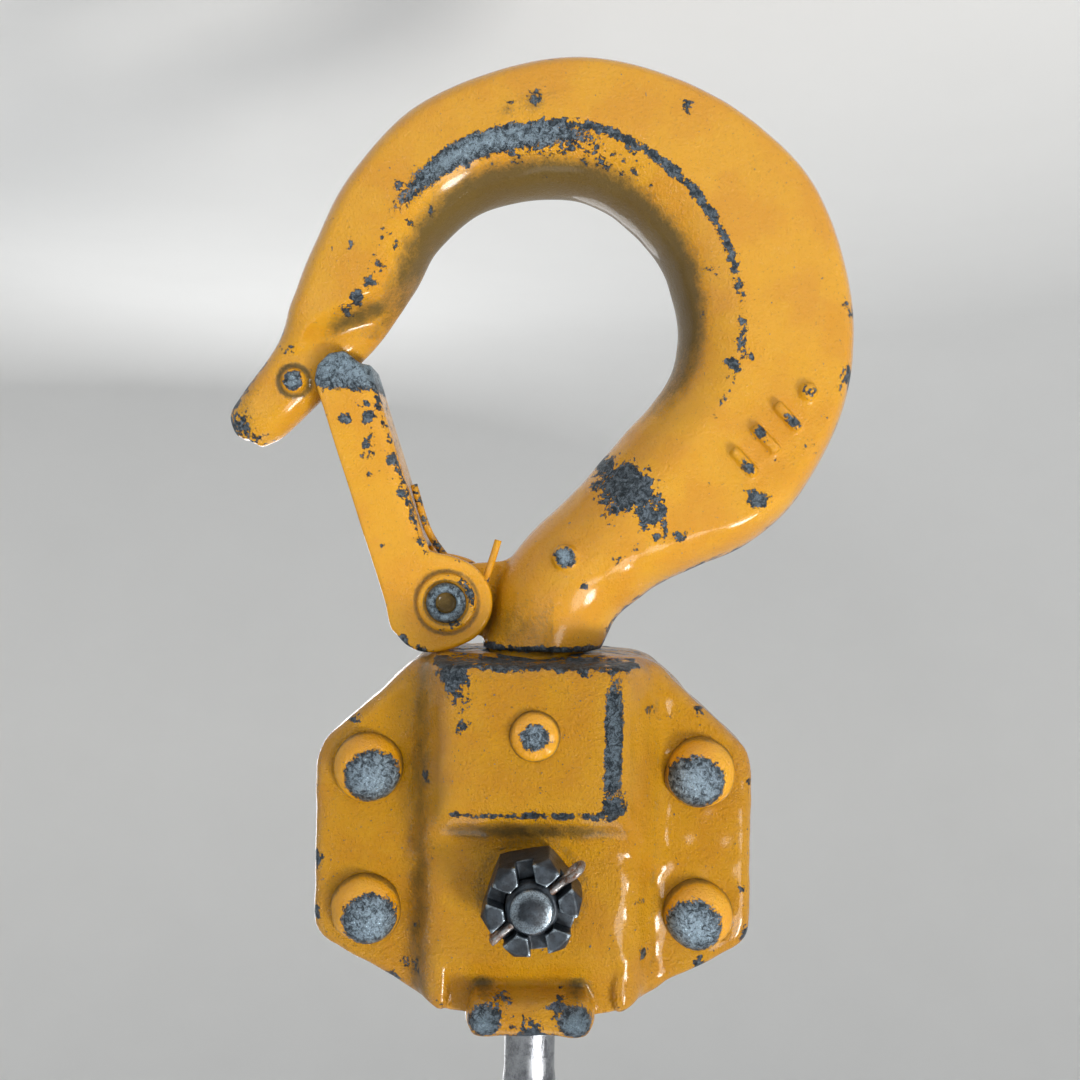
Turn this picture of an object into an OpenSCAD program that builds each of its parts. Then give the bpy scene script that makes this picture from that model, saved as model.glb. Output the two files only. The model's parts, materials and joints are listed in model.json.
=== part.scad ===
// Bottom hook block of a small chain hoist: swivelling hook with a sprung latch, riveted half shells,
// chain pin and the last two links of the load chain.
// +Z is up, along the load line. The origin is the inner crown of the top link, from which it all hangs.
// The castle nut is on the front, at -Y. The hook's tip is on the +X side.

/* [Chain] */
// Diameter of the chain wire
wire_d = 6; // [5.6:0.1:6.2]
// Inside length of a link
link_pitch = 18; // [17.8:0.1:18.4]
// Inside width of a link
link_gap = 7.8; // [7.6:0.1:8]

/* [Block] */
// Width of the block across its flanges
block_w = 52.4; // [51:0.2:54]
// Thickness of one flange
flange_t = 6; // [5.6:0.2:6.4]
// Height of the chain bulge from the parting face
chain_bulge_h = 10; // [9.8:0.1:10.3]
// Height of the swivel bulge from the parting face
swivel_bulge_h = 13.5; // [13:0.1:14]
// Diameter of the rivet heads
rivet_head_d = 8.5; // [8:0.1:9]

/* [Pins] */
// Diameter of the chain pin
chain_pin_d = 7.4; // [7:0.1:7.4]
// Diameter of the chain pin's threaded end
thread_d = 6; // [5.6:0.1:6.2]
// Width of the nut across its flats
nut_af = 10; // [9.8:0.1:10.4]
// Diameter of the latch pin
latch_pin_d = 4.2; // [4:0.1:4.4]

/* [Hook] */
// Diameter of the hook's neck
neck_d = 15; // [14.4:0.2:15.4]
// Diameter of the swivel journal
journal_d = 12; // [11.4:0.2:12.4]
// Half thickness of the hook's bowl
bowl_half_t = 7.6; // [7:0.1:8]
// Half thickness of the hook's tip, inside the latch
tip_half_t = 3.1; // [2.8:0.1:3.2]

/* [Latch] */
// Thickness of the latch's sheet
latch_sheet = 1.4; // [1.2:0.1:1.5]
// Angle of the closed latch from the load line
latch_lean = 18; // [17:0.5:18.5]

/* [Hidden] */
$fn = 64;

// Colours
ENAMEL = [0.91, 0.55, 0.06];
WORN = [0.33, 0.36, 0.42];
BLACKENED = [0.13, 0.14, 0.16];
BRIGHT = [0.70, 0.72, 0.75];

eps = 0.05;
running_gap = 0.05;
fixed_gap = 0.03;

// Chain: the pin bears on the lower link, and the lower link on the upper one
wire_r = wire_d / 2;
bow_mid_r = link_gap / 2 + wire_r;
link_bow_r = bow_mid_r + wire_r;
chain_pin_r = chain_pin_d / 2;
link_1_floor = -chain_pin_r;
link_2_floor = link_1_floor + link_pitch - wire_d;
pin_drop = link_2_floor + wire_d + link_pitch;

// Block outline, in the chain pin's frame: Z of each corner
block_foot_z = -26.5;
shoulder_low_z = -15.5;
shoulder_high_z = 7.3;
mouth_z = 16.5;
slot_top_z = mouth_z + 4;
foot_half_w = 13.6;
mouth_half_w = 8;
flank_x = block_w / 2;

// Bulges
swivel_top_half_w = 10;
chain_top_half_w = 11.3;
bulge_base_half_w = 14;
swivel_bulge_end_z = -9.5;
bulge_slope_foot_z = -6.1;
chain_bulge_end_z = 11;

// Mouth's lip
lip_half_w = 6.9;
lip_h = 12.6;
mouth_gap = 0.8;
link_1_gap = 1;
link_1_flare = 4;
slot_half_t = wire_r + 0.6;

// Swing of the block about the chain pin, and the room that it gives the upper link at a height z
swing_max = 8;
swing_gap = 0.3;
function slot_half_w(z) = wire_r / cos(swing_max) + z * tan(swing_max) + swing_gap;

// Swivel chamber, from the foot up
journal_r = journal_d / 2;
collar_seat_z = -21.5;
washer_t = 1.5;
collar_h = 3.5;
collar_low_z = collar_seat_z + washer_t + running_gap;
collar_high_z = collar_low_z + collar_h;
shank_end_z = collar_high_z + 2.4;
chamber_r = 9;
chamber_top_z = shank_end_z + 0.6;
groove_r = 4.5;
collar_r = 8.6;

// Rivets and plug pins
rivet_r = 2.5;
rivet_x = 19.8;
rivet_high_z = 3.7;
rivet_low_z = -13.2;
rivet_head_h = 2.9;
plug_z = -18.5;
plug_r = 2;
plug_base_r = 2.9;
plug_top_r = 2.4;
plug_h = 1.2;

// Chain pin, nut and cotter
nut_h = 4.8;
castle_h = 2.2;
slot_w = 2;
thread_r = thread_d / 2;
dog_r = thread_r - 0.55;
dog_h = 1;
pin_end_y = -chain_bulge_h - nut_h - castle_h - 0.6;
pin_head_r = 5.6;
pin_head_h = 3.4;
cotter_r = 0.8;
cotter_eye_r = 1.5;
cotter_eye_wire_r = 0.6;
cotter_leg_r = 0.7;
cotter_gap = 0.05;
cotter_y = -chain_bulge_h - nut_h - castle_h / 2 + 0.2;
cotter_turn = -41;

// Latch, in its own frame: x outward from the arm's inner edge, z up from the pivot
pivot_x = 10.9;
pivot_z = -32.9;
latch_pin_r = latch_pin_d / 2;
latch_bore_r = 1.25;
latch_bore_h = 1.5;
cheek_in_y = 3.5;
cheek_out_y = cheek_in_y + latch_sheet;
eye_r = 5.5;
arm_in_x = 0.5;
arm_out_x = 7.5;
arm_end_z = -29.6;
web_end_z = -30.6;
web_start_z = -7;
latch_washer_r = 3.5;
latch_washer_t = 0.8;

// Spring
spring_wire_r = 0.45;
spring_turns = 2;
spring_r = latch_pin_r + 0.2 + spring_wire_r;
spring_low_y = -cheek_in_y + spring_wire_r + 0.1;
spring_advance = 1.65;
spring_high_y = spring_low_y + spring_advance;
lug_in_y = spring_high_y + spring_wire_r + 0.1;

// Sections along the hook: inner point x, z; outer point x, z; half thickness; squareness
HOOK = [
    [neck_d / 2, -27, -neck_d / 2, -27, neck_d / 2, 2],
    [5.6, -31, -9.9, -31, neck_d / 2, 2],
    [4.6, -36, -13, -33.8, 7.6, 2.1],
    [1.5, -41, -15.2, -35.4, 7.8, 2.3],
    [-4.5, -47, -19.4, -37.5, 7.9, 2.5],
    [-10.3, -53.9, -26.2, -40.8, 7.9, 2.7],
    [-13.8, -57.9, -32.3, -47, bowl_half_t, 2.8],
    [-16.4, -62.5, -37.4, -58.4, bowl_half_t, 2.9],
    [-16.7, -68.8, -37.6, -71.4, bowl_half_t, 2.9],
    [-14, -76, -31.9, -85.6, bowl_half_t, 2.9],
    [-7.8, -81.7, -19, -95.6, bowl_half_t, 2.8],
    [-1.1, -83.4, -2.8, -99.4, bowl_half_t, 2.7],
    [7.3, -81.8, 14.2, -94.4, 7.3, 2.6],
    [12.9, -77, 23.6, -85.4, 6.9, 2.5],
    [15.4, -72.3, 28.4, -76.1, 6.5, 2.5],
    [17.7, -68.1, 31, -69.3, 5.6, 2.4],
    [20.2, -64.6, 32.5, -65.3, tip_half_t + 0.3, 2.3],
    [24.4, -60.4, 34.5, -62, tip_half_t, 2.2],
    [28.9, -55.9, 37.2, -58.2, tip_half_t, 2.1],
    [32, -52.9, 38.7, -55.5, 2.7, 2],
    [34.5, -51.5, 38.1, -53, 1.4, 2]
];
RING_SIDES = 16;
STEPS = 2;

// Catmull-Rom value between q and r at fraction t
function blend(p, q, r, s, t) =
    q + 0.5 * t * ((r - p) + t * ((2 * p - 5 * q + 4 * r - s) + t * (3 * (q - r) + s - p)));

// Section k of list L, held at the ends
function held(L, k) = L[max(0, min(len(L) - 1, k))];

// Sections with STEPS intervals between the given ones
function smooth_sections(L) = [
    for (i = [0 : (len(L) - 1) * STEPS])
        let (k = floor(i / STEPS))
        blend(held(L, k - 1), held(L, k), held(L, k + 1), held(L, k + 2), i / STEPS - k)
];

function power(v, n) = sign(v) * pow(abs(v), 2 / n);

// Closed ring of points round one section
function ring(s) = [
    for (k = [0 : RING_SIDES - 1])
        let (
            c = power(cos(360 * k / RING_SIDES), s[5]),
            d = power(sin(360 * k / RING_SIDES), s[5])
        )
        [
            (s[0] + s[2]) / 2 + c * (s[2] - s[0]) / 2,
            d * s[4],
            (s[1] + s[3]) / 2 + c * (s[3] - s[1]) / 2
        ]
];

// Solid through a list of rings that all have n points
module skin(rings, n) {
    last = len(rings) - 1;
    points = [for (r = rings, p = r) p];
    sides = [
        for (i = [0 : last - 1], k = [0 : n - 1])
            each [
                [i * n + k, (i + 1) * n + k, i * n + (k + 1) % n],
                [i * n + (k + 1) % n, (i + 1) * n + k, (i + 1) * n + (k + 1) % n]
            ]
    ];
    start_cap = [for (k = [0 : n - 1]) k];
    end_cap = [for (k = [n - 1 : -1 : 0]) last * n + k];
    polyhedron(points, concat([start_cap, end_cap], sides));
}

// Moves a shape from the chain pin's frame to the part's frame
module hung() {
    translate([0, 0, -pin_drop]) children();
}

// Extrudes an outline in x and z from y0 to y1
module plate(y0, y1) {
    translate([0, y1, 0]) rotate([90, 0, 0]) linear_extrude(y1 - y0) children();
}

// Cylinder along Y from y0 to y1
module along_y(r, y0, y1) {
    translate([0, y1, 0]) rotate([90, 0, 0]) cylinder(r = r, h = y1 - y0);
}

module block_outline() {
    polygon([
        [-foot_half_w, block_foot_z], [foot_half_w, block_foot_z],
        [flank_x, shoulder_low_z], [flank_x, shoulder_high_z],
        [mouth_half_w, mouth_z], [-mouth_half_w, mouth_z],
        [-flank_x, shoulder_high_z], [-flank_x, shoulder_low_z]
    ]);
}

// Half section of a bulge, seen along Z
module bulge_section(top_half_w, h) {
    polygon([
        [-bulge_base_half_w, 0], [-bulge_base_half_w, flange_t], [-top_half_w, h],
        [top_half_w, h], [bulge_base_half_w, flange_t], [bulge_base_half_w, 0]
    ]);
}

// Side profile extruded across X: points are [z, y]
module across_x(half_w, points) {
    translate([-half_w, 0, 0]) rotate([90, 0, 90]) linear_extrude(2 * half_w)
        polygon([for (p = points) [p[1], p[0]]]);
}

// Half shell on the +Y side of the parting face
module shell_body() {
    plate(0, flange_t) block_outline();
    intersection() {
        translate([0, 0, block_foot_z])
            linear_extrude(bulge_slope_foot_z - block_foot_z)
            bulge_section(swivel_top_half_w, swivel_bulge_h);
        across_x(bulge_base_half_w, [
            [block_foot_z, 0], [block_foot_z, swivel_bulge_h], [swivel_bulge_end_z, swivel_bulge_h],
            [bulge_slope_foot_z, chain_bulge_h], [bulge_slope_foot_z, 0]
        ]);
    }
    translate([0, 0, bulge_slope_foot_z - eps])
        linear_extrude(chain_bulge_end_z - bulge_slope_foot_z) bulge_section(chain_top_half_w, chain_bulge_h);
    across_x(lip_half_w, [
        [chain_bulge_end_z - 4, 0], [chain_bulge_end_z - 4, chain_bulge_h - eps],
        [chain_bulge_end_z, chain_bulge_h - eps], [mouth_z - 2.6, lip_h], [mouth_z, lip_h], [mouth_z, 0]
    ]);
}

// Room for the upper link's lower bow: a disc across the block, between sides that flare for the swing
module link_2_cavity() {
    floor_z = link_2_floor - mouth_gap;
    intersection() {
        translate([-bulge_base_half_w, 0, link_2_floor + link_bow_r])
            rotate([0, 90, 0]) cylinder(r = link_bow_r + mouth_gap, h = 2 * bulge_base_half_w);
        plate(-link_bow_r - 2, link_bow_r + 2) polygon([
            [-slot_half_w(floor_z), floor_z], [slot_half_w(floor_z), floor_z],
            [slot_half_w(slot_top_z), slot_top_z], [-slot_half_w(slot_top_z), slot_top_z]
        ]);
    }
}

// Everything that is cut from a half shell
module shell_cavities() {
    translate([0, 0, block_foot_z - eps])
        cylinder(r = journal_r + running_gap, h = collar_seat_z - block_foot_z + 2 * eps);
    translate([0, 0, collar_seat_z]) cylinder(r = chamber_r, h = chamber_top_z - collar_seat_z);
    link_1_half_w = link_bow_r + link_1_gap;
    plate(-slot_half_t, slot_half_t) {
        circle(r = link_1_half_w);
        polygon([
            [-link_1_half_w, 0], [link_1_half_w, 0],
            [link_1_half_w + link_1_flare, slot_top_z], [-link_1_half_w - link_1_flare, slot_top_z]
        ]);
    }
    link_2_cavity();
    along_y(chain_pin_r + fixed_gap, -eps, chain_bulge_h + 1);
    for (x = [-rivet_x, rivet_x], z = [rivet_low_z, rivet_high_z])
        translate([x, 0, z]) along_y(rivet_r + fixed_gap, -eps, flange_t + 1);
    translate([0, 0, plug_z]) along_y(plug_r + fixed_gap, 0, swivel_bulge_h + 1);
}

module rear_shell() {
    color(ENAMEL) hung() difference() {
        shell_body();
        shell_cavities();
    }
}

module front_shell() {
    color(ENAMEL) hung() mirror([0, 1, 0]) difference() {
        shell_body();
        shell_cavities();
    }
}

// Round head with its flat face at y = 0, standing towards +Y
module dome(r, h) {
    ball_r = (r * r + h * h) / (2 * h);
    intersection() {
        translate([0, h - ball_r, 0]) sphere(r = ball_r);
        along_y(r + 1, 0, h + 1);
    }
}

module rivet(x, z) {
    hung() translate([x, 0, z]) {
        along_y(rivet_r, -flange_t - 0.5, flange_t + 0.5);
        translate([0, flange_t, 0]) dome(rivet_head_d / 2, rivet_head_h);
        translate([0, -flange_t, 0]) mirror([0, 1, 0]) dome(rivet_head_d / 2, rivet_head_h);
    }
}

module rivet_upper_left() {
    color(WORN) rivet(-rivet_x, rivet_high_z);
}

module rivet_upper_right() {
    color(WORN) rivet(rivet_x, rivet_high_z);
}

module rivet_lower_left() {
    color(WORN) rivet(-rivet_x, rivet_low_z);
}

module rivet_lower_right() {
    color(WORN) rivet(rivet_x, rivet_low_z);
}

// Plug pin on the +Y side
module plug_pin() {
    translate([0, 0, plug_z]) {
        along_y(plug_r, chamber_r + 0.4, swivel_bulge_h + 0.5);
        translate([0, swivel_bulge_h, 0]) rotate([-90, 0, 0])
            cylinder(r1 = plug_base_r, r2 = plug_top_r, h = plug_h);
    }
}

module rear_plug_pin() {
    color(WORN) hung() plug_pin();
}

module front_plug_pin() {
    color(WORN) hung() mirror([0, 1, 0]) plug_pin();
}

// Turns a shape in the nut's plane so that its x axis lies along the cotter
module along_cotter() {
    rotate([0, cotter_turn, 0]) children();
}

module chain_pin() {
    color(BLACKENED) hung() difference() {
        union() {
            along_y(chain_pin_r, -chain_bulge_h + 0.1, chain_bulge_h + eps);
            along_y(thread_r, pin_end_y + dog_h, -chain_bulge_h + 0.2);
            along_y(dog_r, pin_end_y, -chain_bulge_h);
            translate([0, chain_bulge_h, 0]) along_y(pin_head_r, 0, pin_head_h - 1);
            translate([0, chain_bulge_h + pin_head_h - 1, 0]) rotate([-90, 0, 0])
                cylinder(r1 = pin_head_r, r2 = pin_head_r - 1, h = 1);
        }
        along_cotter() translate([-5, cotter_y, 0])
            rotate([0, 90, 0]) cylinder(r = cotter_r + cotter_gap, h = 10);
    }
}

module slotted_nut() {
    corner_r = nut_af / sqrt(3);
    color(BLACKENED) hung() difference() {
        along_cotter() rotate([0, 30, 0]) translate([0, -chain_bulge_h, 0]) rotate([90, 0, 0])
            cylinder(r = corner_r, h = nut_h + castle_h, $fn = 6);
        along_y(thread_r + fixed_gap, -chain_bulge_h - 8, -chain_bulge_h + 1);
        for (k = [0 : 2])
            rotate([0, cotter_turn + 60 * k, 0])
                translate([-8, -chain_bulge_h - nut_h - castle_h - 1, -slot_w / 2])
                cube([16, castle_h + 1, slot_w]);
    }
}

module cotter_pin() {
    shaft_end = nut_af / 2 + 0.5;
    color(BLACKENED) hung() translate([0, cotter_y, 0]) along_cotter() {
        translate([-shaft_end, 0, 0]) rotate([0, 90, 0]) cylinder(r = cotter_r, h = 2 * shaft_end, $fn = 24);
        translate([-shaft_end - cotter_eye_r + 0.1, 0, 0]) rotate([90, 0, 0])
            rotate_extrude($fn = 32) translate([cotter_eye_r, 0]) circle(r = cotter_eye_wire_r, $fn = 16);
        translate([shaft_end - 0.1, 0.3, 0]) rotate([90, 0, 0]) cylinder(r = cotter_leg_r, h = 1.7, $fn = 24);
    }
}

module thrust_washer() {
    color(WORN) hung() translate([0, 0, collar_seat_z]) difference() {
        cylinder(r = collar_r, h = washer_t);
        translate([0, 0, -1]) cylinder(r = journal_r + 0.3, h = washer_t + 2);
    }
}

// Collar half on the +Y side
module collar_half() {
    intersection() {
        translate([0, 0, collar_low_z]) difference() {
            cylinder(r = collar_r, h = collar_h);
            translate([0, 0, -1]) cylinder(r = groove_r + fixed_gap, h = collar_h + 2);
        }
        translate([-10, 0.1, -30]) cube([20, 10, 30]);
    }
}

module rear_collar_half() {
    color(WORN) hung() collar_half();
}

module front_collar_half() {
    color(WORN) hung() mirror([0, 1, 0]) collar_half();
}

// Turned shank above the neck, as a half profile of radius and z
module shank() {
    rotate_extrude() polygon([
        [0, -29], [neck_d / 2 - 0.4, -29], [neck_d / 2 - 0.1, -27.4], [neck_d / 2 - 0.6, -27],
        [journal_r, -27], [journal_r, collar_low_z - eps], [groove_r, collar_low_z - eps],
        [groove_r, collar_high_z + eps], [journal_r, collar_high_z + eps], [journal_r, shank_end_z],
        [0, shank_end_z]
    ]);
}

// Lug that carries the latch
module lug() {
    plate(lug_in_y, cheek_in_y - 0.3) {
        translate([pivot_x, pivot_z]) circle(r = 4.4);
        polygon([[2, -28.6], [pivot_x, pivot_z + 4.4], [pivot_x, pivot_z - 4.4], [3, -38]]);
    }
}

module gauge_boss(x, z, half_t) {
    translate([x, 0, z]) along_y(1.5, -half_t - 0.7, half_t + 0.7);
}

module hook() {
    color(ENAMEL) hung() difference() {
        union() {
            skin([for (s = smooth_sections(HOOK)) ring(s)], RING_SIDES);
            shank();
            lug();
            gauge_boss(-3.2, -38.6, 7.3);
            gauge_boss(30.2, -59.5, tip_half_t);
        }
        translate([pivot_x, 0, pivot_z]) along_y(latch_pin_r + fixed_gap, -5, 5);
    }
}

module at_pivot() {
    hung() translate([pivot_x, 0, pivot_z]) children();
}

module cheek_outline() {
    circle(r = eye_r);
    translate([2.6, 1]) circle(r = 4.5);
    polygon([
        [7.1, 1], [arm_out_x, arm_end_z], [arm_in_x, arm_end_z], [arm_in_x, -7.5], [-4, -3.7]
    ]);
    translate([(arm_in_x + arm_out_x) / 2, arm_end_z]) circle(r = (arm_out_x - arm_in_x) / 2);
}

module latch() {
    color(ENAMEL) at_pivot() rotate([0, -latch_lean, 0]) difference() {
        union() {
            plate(-cheek_out_y, -cheek_in_y) cheek_outline();
            plate(cheek_in_y, cheek_out_y) cheek_outline();
            translate([arm_in_x, -cheek_in_y - eps, web_end_z])
                cube([latch_sheet, 2 * (cheek_in_y + eps), web_start_z - web_end_z]);
        }
        along_y(latch_pin_r + running_gap, -10, 10);
    }
}

module latch_pin() {
    half_l = cheek_out_y + latch_washer_t + 0.1;
    color(WORN) at_pivot() difference() {
        union() {
            along_y(latch_pin_r, -half_l - 0.6, half_l + 0.6);
            along_y(latch_pin_r + 0.4, half_l, half_l + 0.5);
            along_y(latch_pin_r + 0.4, -half_l - 0.5, -half_l);
        }
        along_y(latch_bore_r, half_l + 0.6 - latch_bore_h, half_l + 1);
        along_y(latch_bore_r, -half_l - 1, -half_l - 0.6 + latch_bore_h);
    }
}

// Washer on the +Y side of the latch
module latch_washer() {
    difference() {
        along_y(latch_washer_r, cheek_out_y + running_gap, cheek_out_y + latch_washer_t);
        along_y(latch_pin_r + fixed_gap, 0, 10);
    }
}

module rear_latch_washer() {
    color(ENAMEL) at_pivot() latch_washer();
}

module front_latch_washer() {
    color(ENAMEL) at_pivot() mirror([0, 1, 0]) latch_washer();
}

// Point in the latch's frame, about the pivot in the hook's frame
function from_latch(x, y, z) = [
    x * cos(latch_lean) - z * sin(latch_lean), y, x * sin(latch_lean) + z * cos(latch_lean)
];

// Centre line of the spring about the pivot: a leg on the shank, the turns, and a leg along the web
SPRING_SIDES = 8;
spring_start = 142;
spring_sweep = 360 * spring_turns - 142 + (180 + latch_lean);
web_leg_x = arm_in_x - spring_wire_r - 0.05;
function spring_point(a) = [
    spring_r * cos(a), spring_low_y + spring_advance * (a - spring_start) / spring_sweep, spring_r * sin(a)
];
SPRING_PATH = concat(
    [[-5.7, spring_low_y, -6.6]],
    [for (k = [0 : 48]) spring_point(spring_start + spring_sweep * k / 48)],
    [from_latch(web_leg_x, spring_high_y, -9), from_latch(web_leg_x, spring_high_y, -15)]
);
function unit(v) = v / norm(v);
function path_dir(k) = unit(held(SPRING_PATH, k + 1) - held(SPRING_PATH, k - 1));
function spring_ring(k) =
    let (
        t = path_dir(k),
        u = unit(cross(t, [0, 1, 0.02])),
        v = cross(t, u)
    )
    [for (j = [0 : SPRING_SIDES - 1])
        let (a = 360 * j / SPRING_SIDES)
        SPRING_PATH[k] + spring_wire_r * (cos(a) * u + sin(a) * v)];

module latch_spring() {
    color(BRIGHT) at_pivot()
        skin([for (k = [0 : len(SPRING_PATH) - 1]) spring_ring(k)], SPRING_SIDES);
}

// Link in the x-z plane whose lower inner crown is at z = 0
module link() {
    straight = link_pitch - link_gap;
    for (side = [-1, 1])
        translate([side * bow_mid_r, 0, link_gap / 2]) cylinder(r = wire_r, h = straight);
    translate([0, 0, link_gap / 2]) rotate([-90, 0, 0])
        rotate_extrude(angle = 180) translate([bow_mid_r, 0]) circle(r = wire_r);
    translate([0, 0, link_gap / 2 + straight]) rotate([90, 0, 0])
        rotate_extrude(angle = 180) translate([bow_mid_r, 0]) circle(r = wire_r);
}

module chain_link_1() {
    color(BRIGHT) hung() translate([0, 0, link_1_floor]) link();
}

module chain_link_2() {
    color(BRIGHT) hung() translate([0, 0, link_2_floor + wire_d]) rotate([0, 0, 90]) link();
}

front_shell();
rear_shell();
rivet_upper_left();
rivet_upper_right();
rivet_lower_left();
rivet_lower_right();
front_plug_pin();
rear_plug_pin();
chain_pin();
slotted_nut();
cotter_pin();
thrust_washer();
hook();
front_collar_half();
rear_collar_half();
latch_pin();
front_latch_washer();
rear_latch_washer();
latch_spring();
latch();
chain_link_1();
chain_link_2();
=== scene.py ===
"""The hook block's looks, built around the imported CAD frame.

Shapes are worked out in millimetres in the chain pin's frame: the pin's centre is the origin, +Z is up
along the load line, -Y is the front. Pieces are moved down by the pin's depth as they are made.
"""
import json
import math

import bpy
import numpy as np
from mathutils import Matrix, Vector


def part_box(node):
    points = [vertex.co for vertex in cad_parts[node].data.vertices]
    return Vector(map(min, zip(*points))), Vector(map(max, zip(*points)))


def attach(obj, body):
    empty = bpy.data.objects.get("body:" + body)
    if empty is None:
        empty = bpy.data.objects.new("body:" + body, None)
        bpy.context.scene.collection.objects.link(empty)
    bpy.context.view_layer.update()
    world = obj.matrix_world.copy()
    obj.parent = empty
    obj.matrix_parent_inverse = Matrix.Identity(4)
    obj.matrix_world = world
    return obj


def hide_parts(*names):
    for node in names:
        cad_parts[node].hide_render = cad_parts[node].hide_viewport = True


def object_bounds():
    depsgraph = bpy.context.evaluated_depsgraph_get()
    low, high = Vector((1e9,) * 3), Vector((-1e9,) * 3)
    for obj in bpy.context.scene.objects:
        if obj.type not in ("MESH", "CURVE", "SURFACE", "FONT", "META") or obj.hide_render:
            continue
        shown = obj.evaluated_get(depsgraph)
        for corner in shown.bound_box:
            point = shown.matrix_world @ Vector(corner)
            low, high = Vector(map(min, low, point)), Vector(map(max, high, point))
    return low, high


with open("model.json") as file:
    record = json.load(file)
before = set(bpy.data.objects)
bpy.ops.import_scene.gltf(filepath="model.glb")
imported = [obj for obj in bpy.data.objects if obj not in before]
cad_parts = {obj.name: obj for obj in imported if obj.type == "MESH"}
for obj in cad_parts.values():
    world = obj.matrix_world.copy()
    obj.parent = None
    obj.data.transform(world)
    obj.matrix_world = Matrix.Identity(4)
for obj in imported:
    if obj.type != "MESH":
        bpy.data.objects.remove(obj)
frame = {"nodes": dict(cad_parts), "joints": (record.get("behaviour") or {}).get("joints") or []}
cad_low, cad_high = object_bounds()

MM = 0.001
JOINTS = {j["name"]: j for j in frame["joints"]}
PIN_DEPTH = -JOINTS["pin_swing"]["pos_m"][2] / MM
PIVOT_X = JOINTS["latch_pivot"]["pos_m"][0] / MM
PIVOT_Z = JOINTS["latch_pivot"]["pos_m"][2] / MM + PIN_DEPTH


def node_box(node):
    """Lowest and highest corner of a CAD node, in millimetres, in the chain pin's frame."""
    low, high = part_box(node)
    shift = np.array([0, 0, PIN_DEPTH])
    return np.array(low) / MM + shift, np.array(high) / MM + shift


# ---------------------------------------------------------------- distance fields

class Grid:
    """Sample points in a box, in millimetres, as three arrays that broadcast together."""

    def __init__(self, low, high, step):
        self.low, self.step = np.array(low, float), step
        axes = [np.arange(a, b + step, step) for a, b in zip(low, high)]
        self.x = axes[0][:, None, None]
        self.y = axes[1][None, :, None]
        self.z = axes[2][None, None, :]


def length(*parts):
    return np.sqrt(sum(p * p for p in parts))


def smooth_min(a, b, k):
    h = np.clip(0.5 + 0.5 * (b - a) / k, 0, 1)
    return b * (1 - h) + a * h - k * h * (1 - h)


def smooth_max(a, b, k):
    return -smooth_min(-a, -b, k)


def slab(u, low, high):
    return np.maximum(low - u, u - high)


def rounded(flat, across, r):
    """Field of an outline's distance and a slab's distance, with their shared edge rounded by r."""
    a, b = flat + r, across + r
    return np.minimum(np.maximum(a, b), 0) + length(np.maximum(a, 0), np.maximum(b, 0)) - r


def polygon_field(x, z, corners):
    """Signed distance to a closed polygon in the x-z plane."""
    best, inside = np.inf, np.zeros(np.broadcast(x, z).shape, bool)
    for (ax, az), (bx, bz) in zip(corners, corners[1:] + corners[:1]):
        ex, ez = bx - ax, bz - az
        t = np.clip(((x - ax) * ex + (z - az) * ez) / (ex * ex + ez * ez), 0, 1)
        best = np.minimum(best, (x - ax - t * ex) ** 2 + (z - az - t * ez) ** 2)
        crosses = (az > z) != (bz > z)
        if az != bz:
            inside = inside ^ (crosses & (x < ex * (z - az) / ez + ax))
    return np.where(inside, -1, 1) * np.sqrt(best)


def convex_field(x, z, corners, k):
    """Distance from a convex polygon in the x-z plane, with its corners blended over k."""
    centre = np.mean(corners, 0)
    field = -np.inf
    for (ax, az), (bx, bz) in zip(corners, corners[1:] + corners[:1]):
        nx, nz = bz - az, ax - bx
        size = math.hypot(nx, nz)
        away = 1 if (ax - centre[0]) * nx + (az - centre[1]) * nz > 0 else -1
        edge = away * ((x - ax) * nx + (z - az) * nz) / size
        field = edge if np.isscalar(field) else smooth_max(field, edge, k)
    return field


def ripple(x, y, z, size, seed):
    """Smooth seeded unevenness between about -1 and 1, with bumps about size across."""
    rng = np.random.default_rng(seed)
    total, count = 0, 7
    for _ in range(count):
        k = rng.normal(size=3)
        k *= 2 * math.pi / (2 * size * rng.uniform(0.7, 1.6)) / np.linalg.norm(k)
        total = total + np.sin(k[0] * x + k[1] * y + k[2] * z + rng.uniform(0, 2 * math.pi))
    return total / math.sqrt(count)


def blur(field, cells):
    """Box blur, twice along each axis."""
    for axis in (0, 1, 2) * 2:
        pad = [(cells + 1, cells) if a == axis else (0, 0) for a in range(3)]
        total = np.cumsum(np.pad(field, pad, mode="edge"), axis=axis)
        n = field.shape[axis]
        high = np.take(total, range(2 * cells + 1, 2 * cells + 1 + n), axis=axis)
        field = (high - np.take(total, range(n), axis=axis)) / (2 * cells + 1)
    return field


def sample(field, grid, points):
    """Trilinear value of a field at points."""
    p = (points - grid.low) / grid.step
    i = np.clip(p.astype(int), 0, np.array(field.shape) - 2)
    f = np.clip(p - i, 0, 1)
    value = 0
    for corner in range(8):
        o = np.array([corner >> 2 & 1, corner >> 1 & 1, corner & 1])
        w = np.prod(np.where(o, f, 1 - f), axis=1)
        c = i + o
        value = value + w * field[c[:, 0], c[:, 1], c[:, 2]]
    return value


CORNERS = [(a, b, c) for a in (0, 1) for b in (0, 1) for c in (0, 1)]


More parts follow.
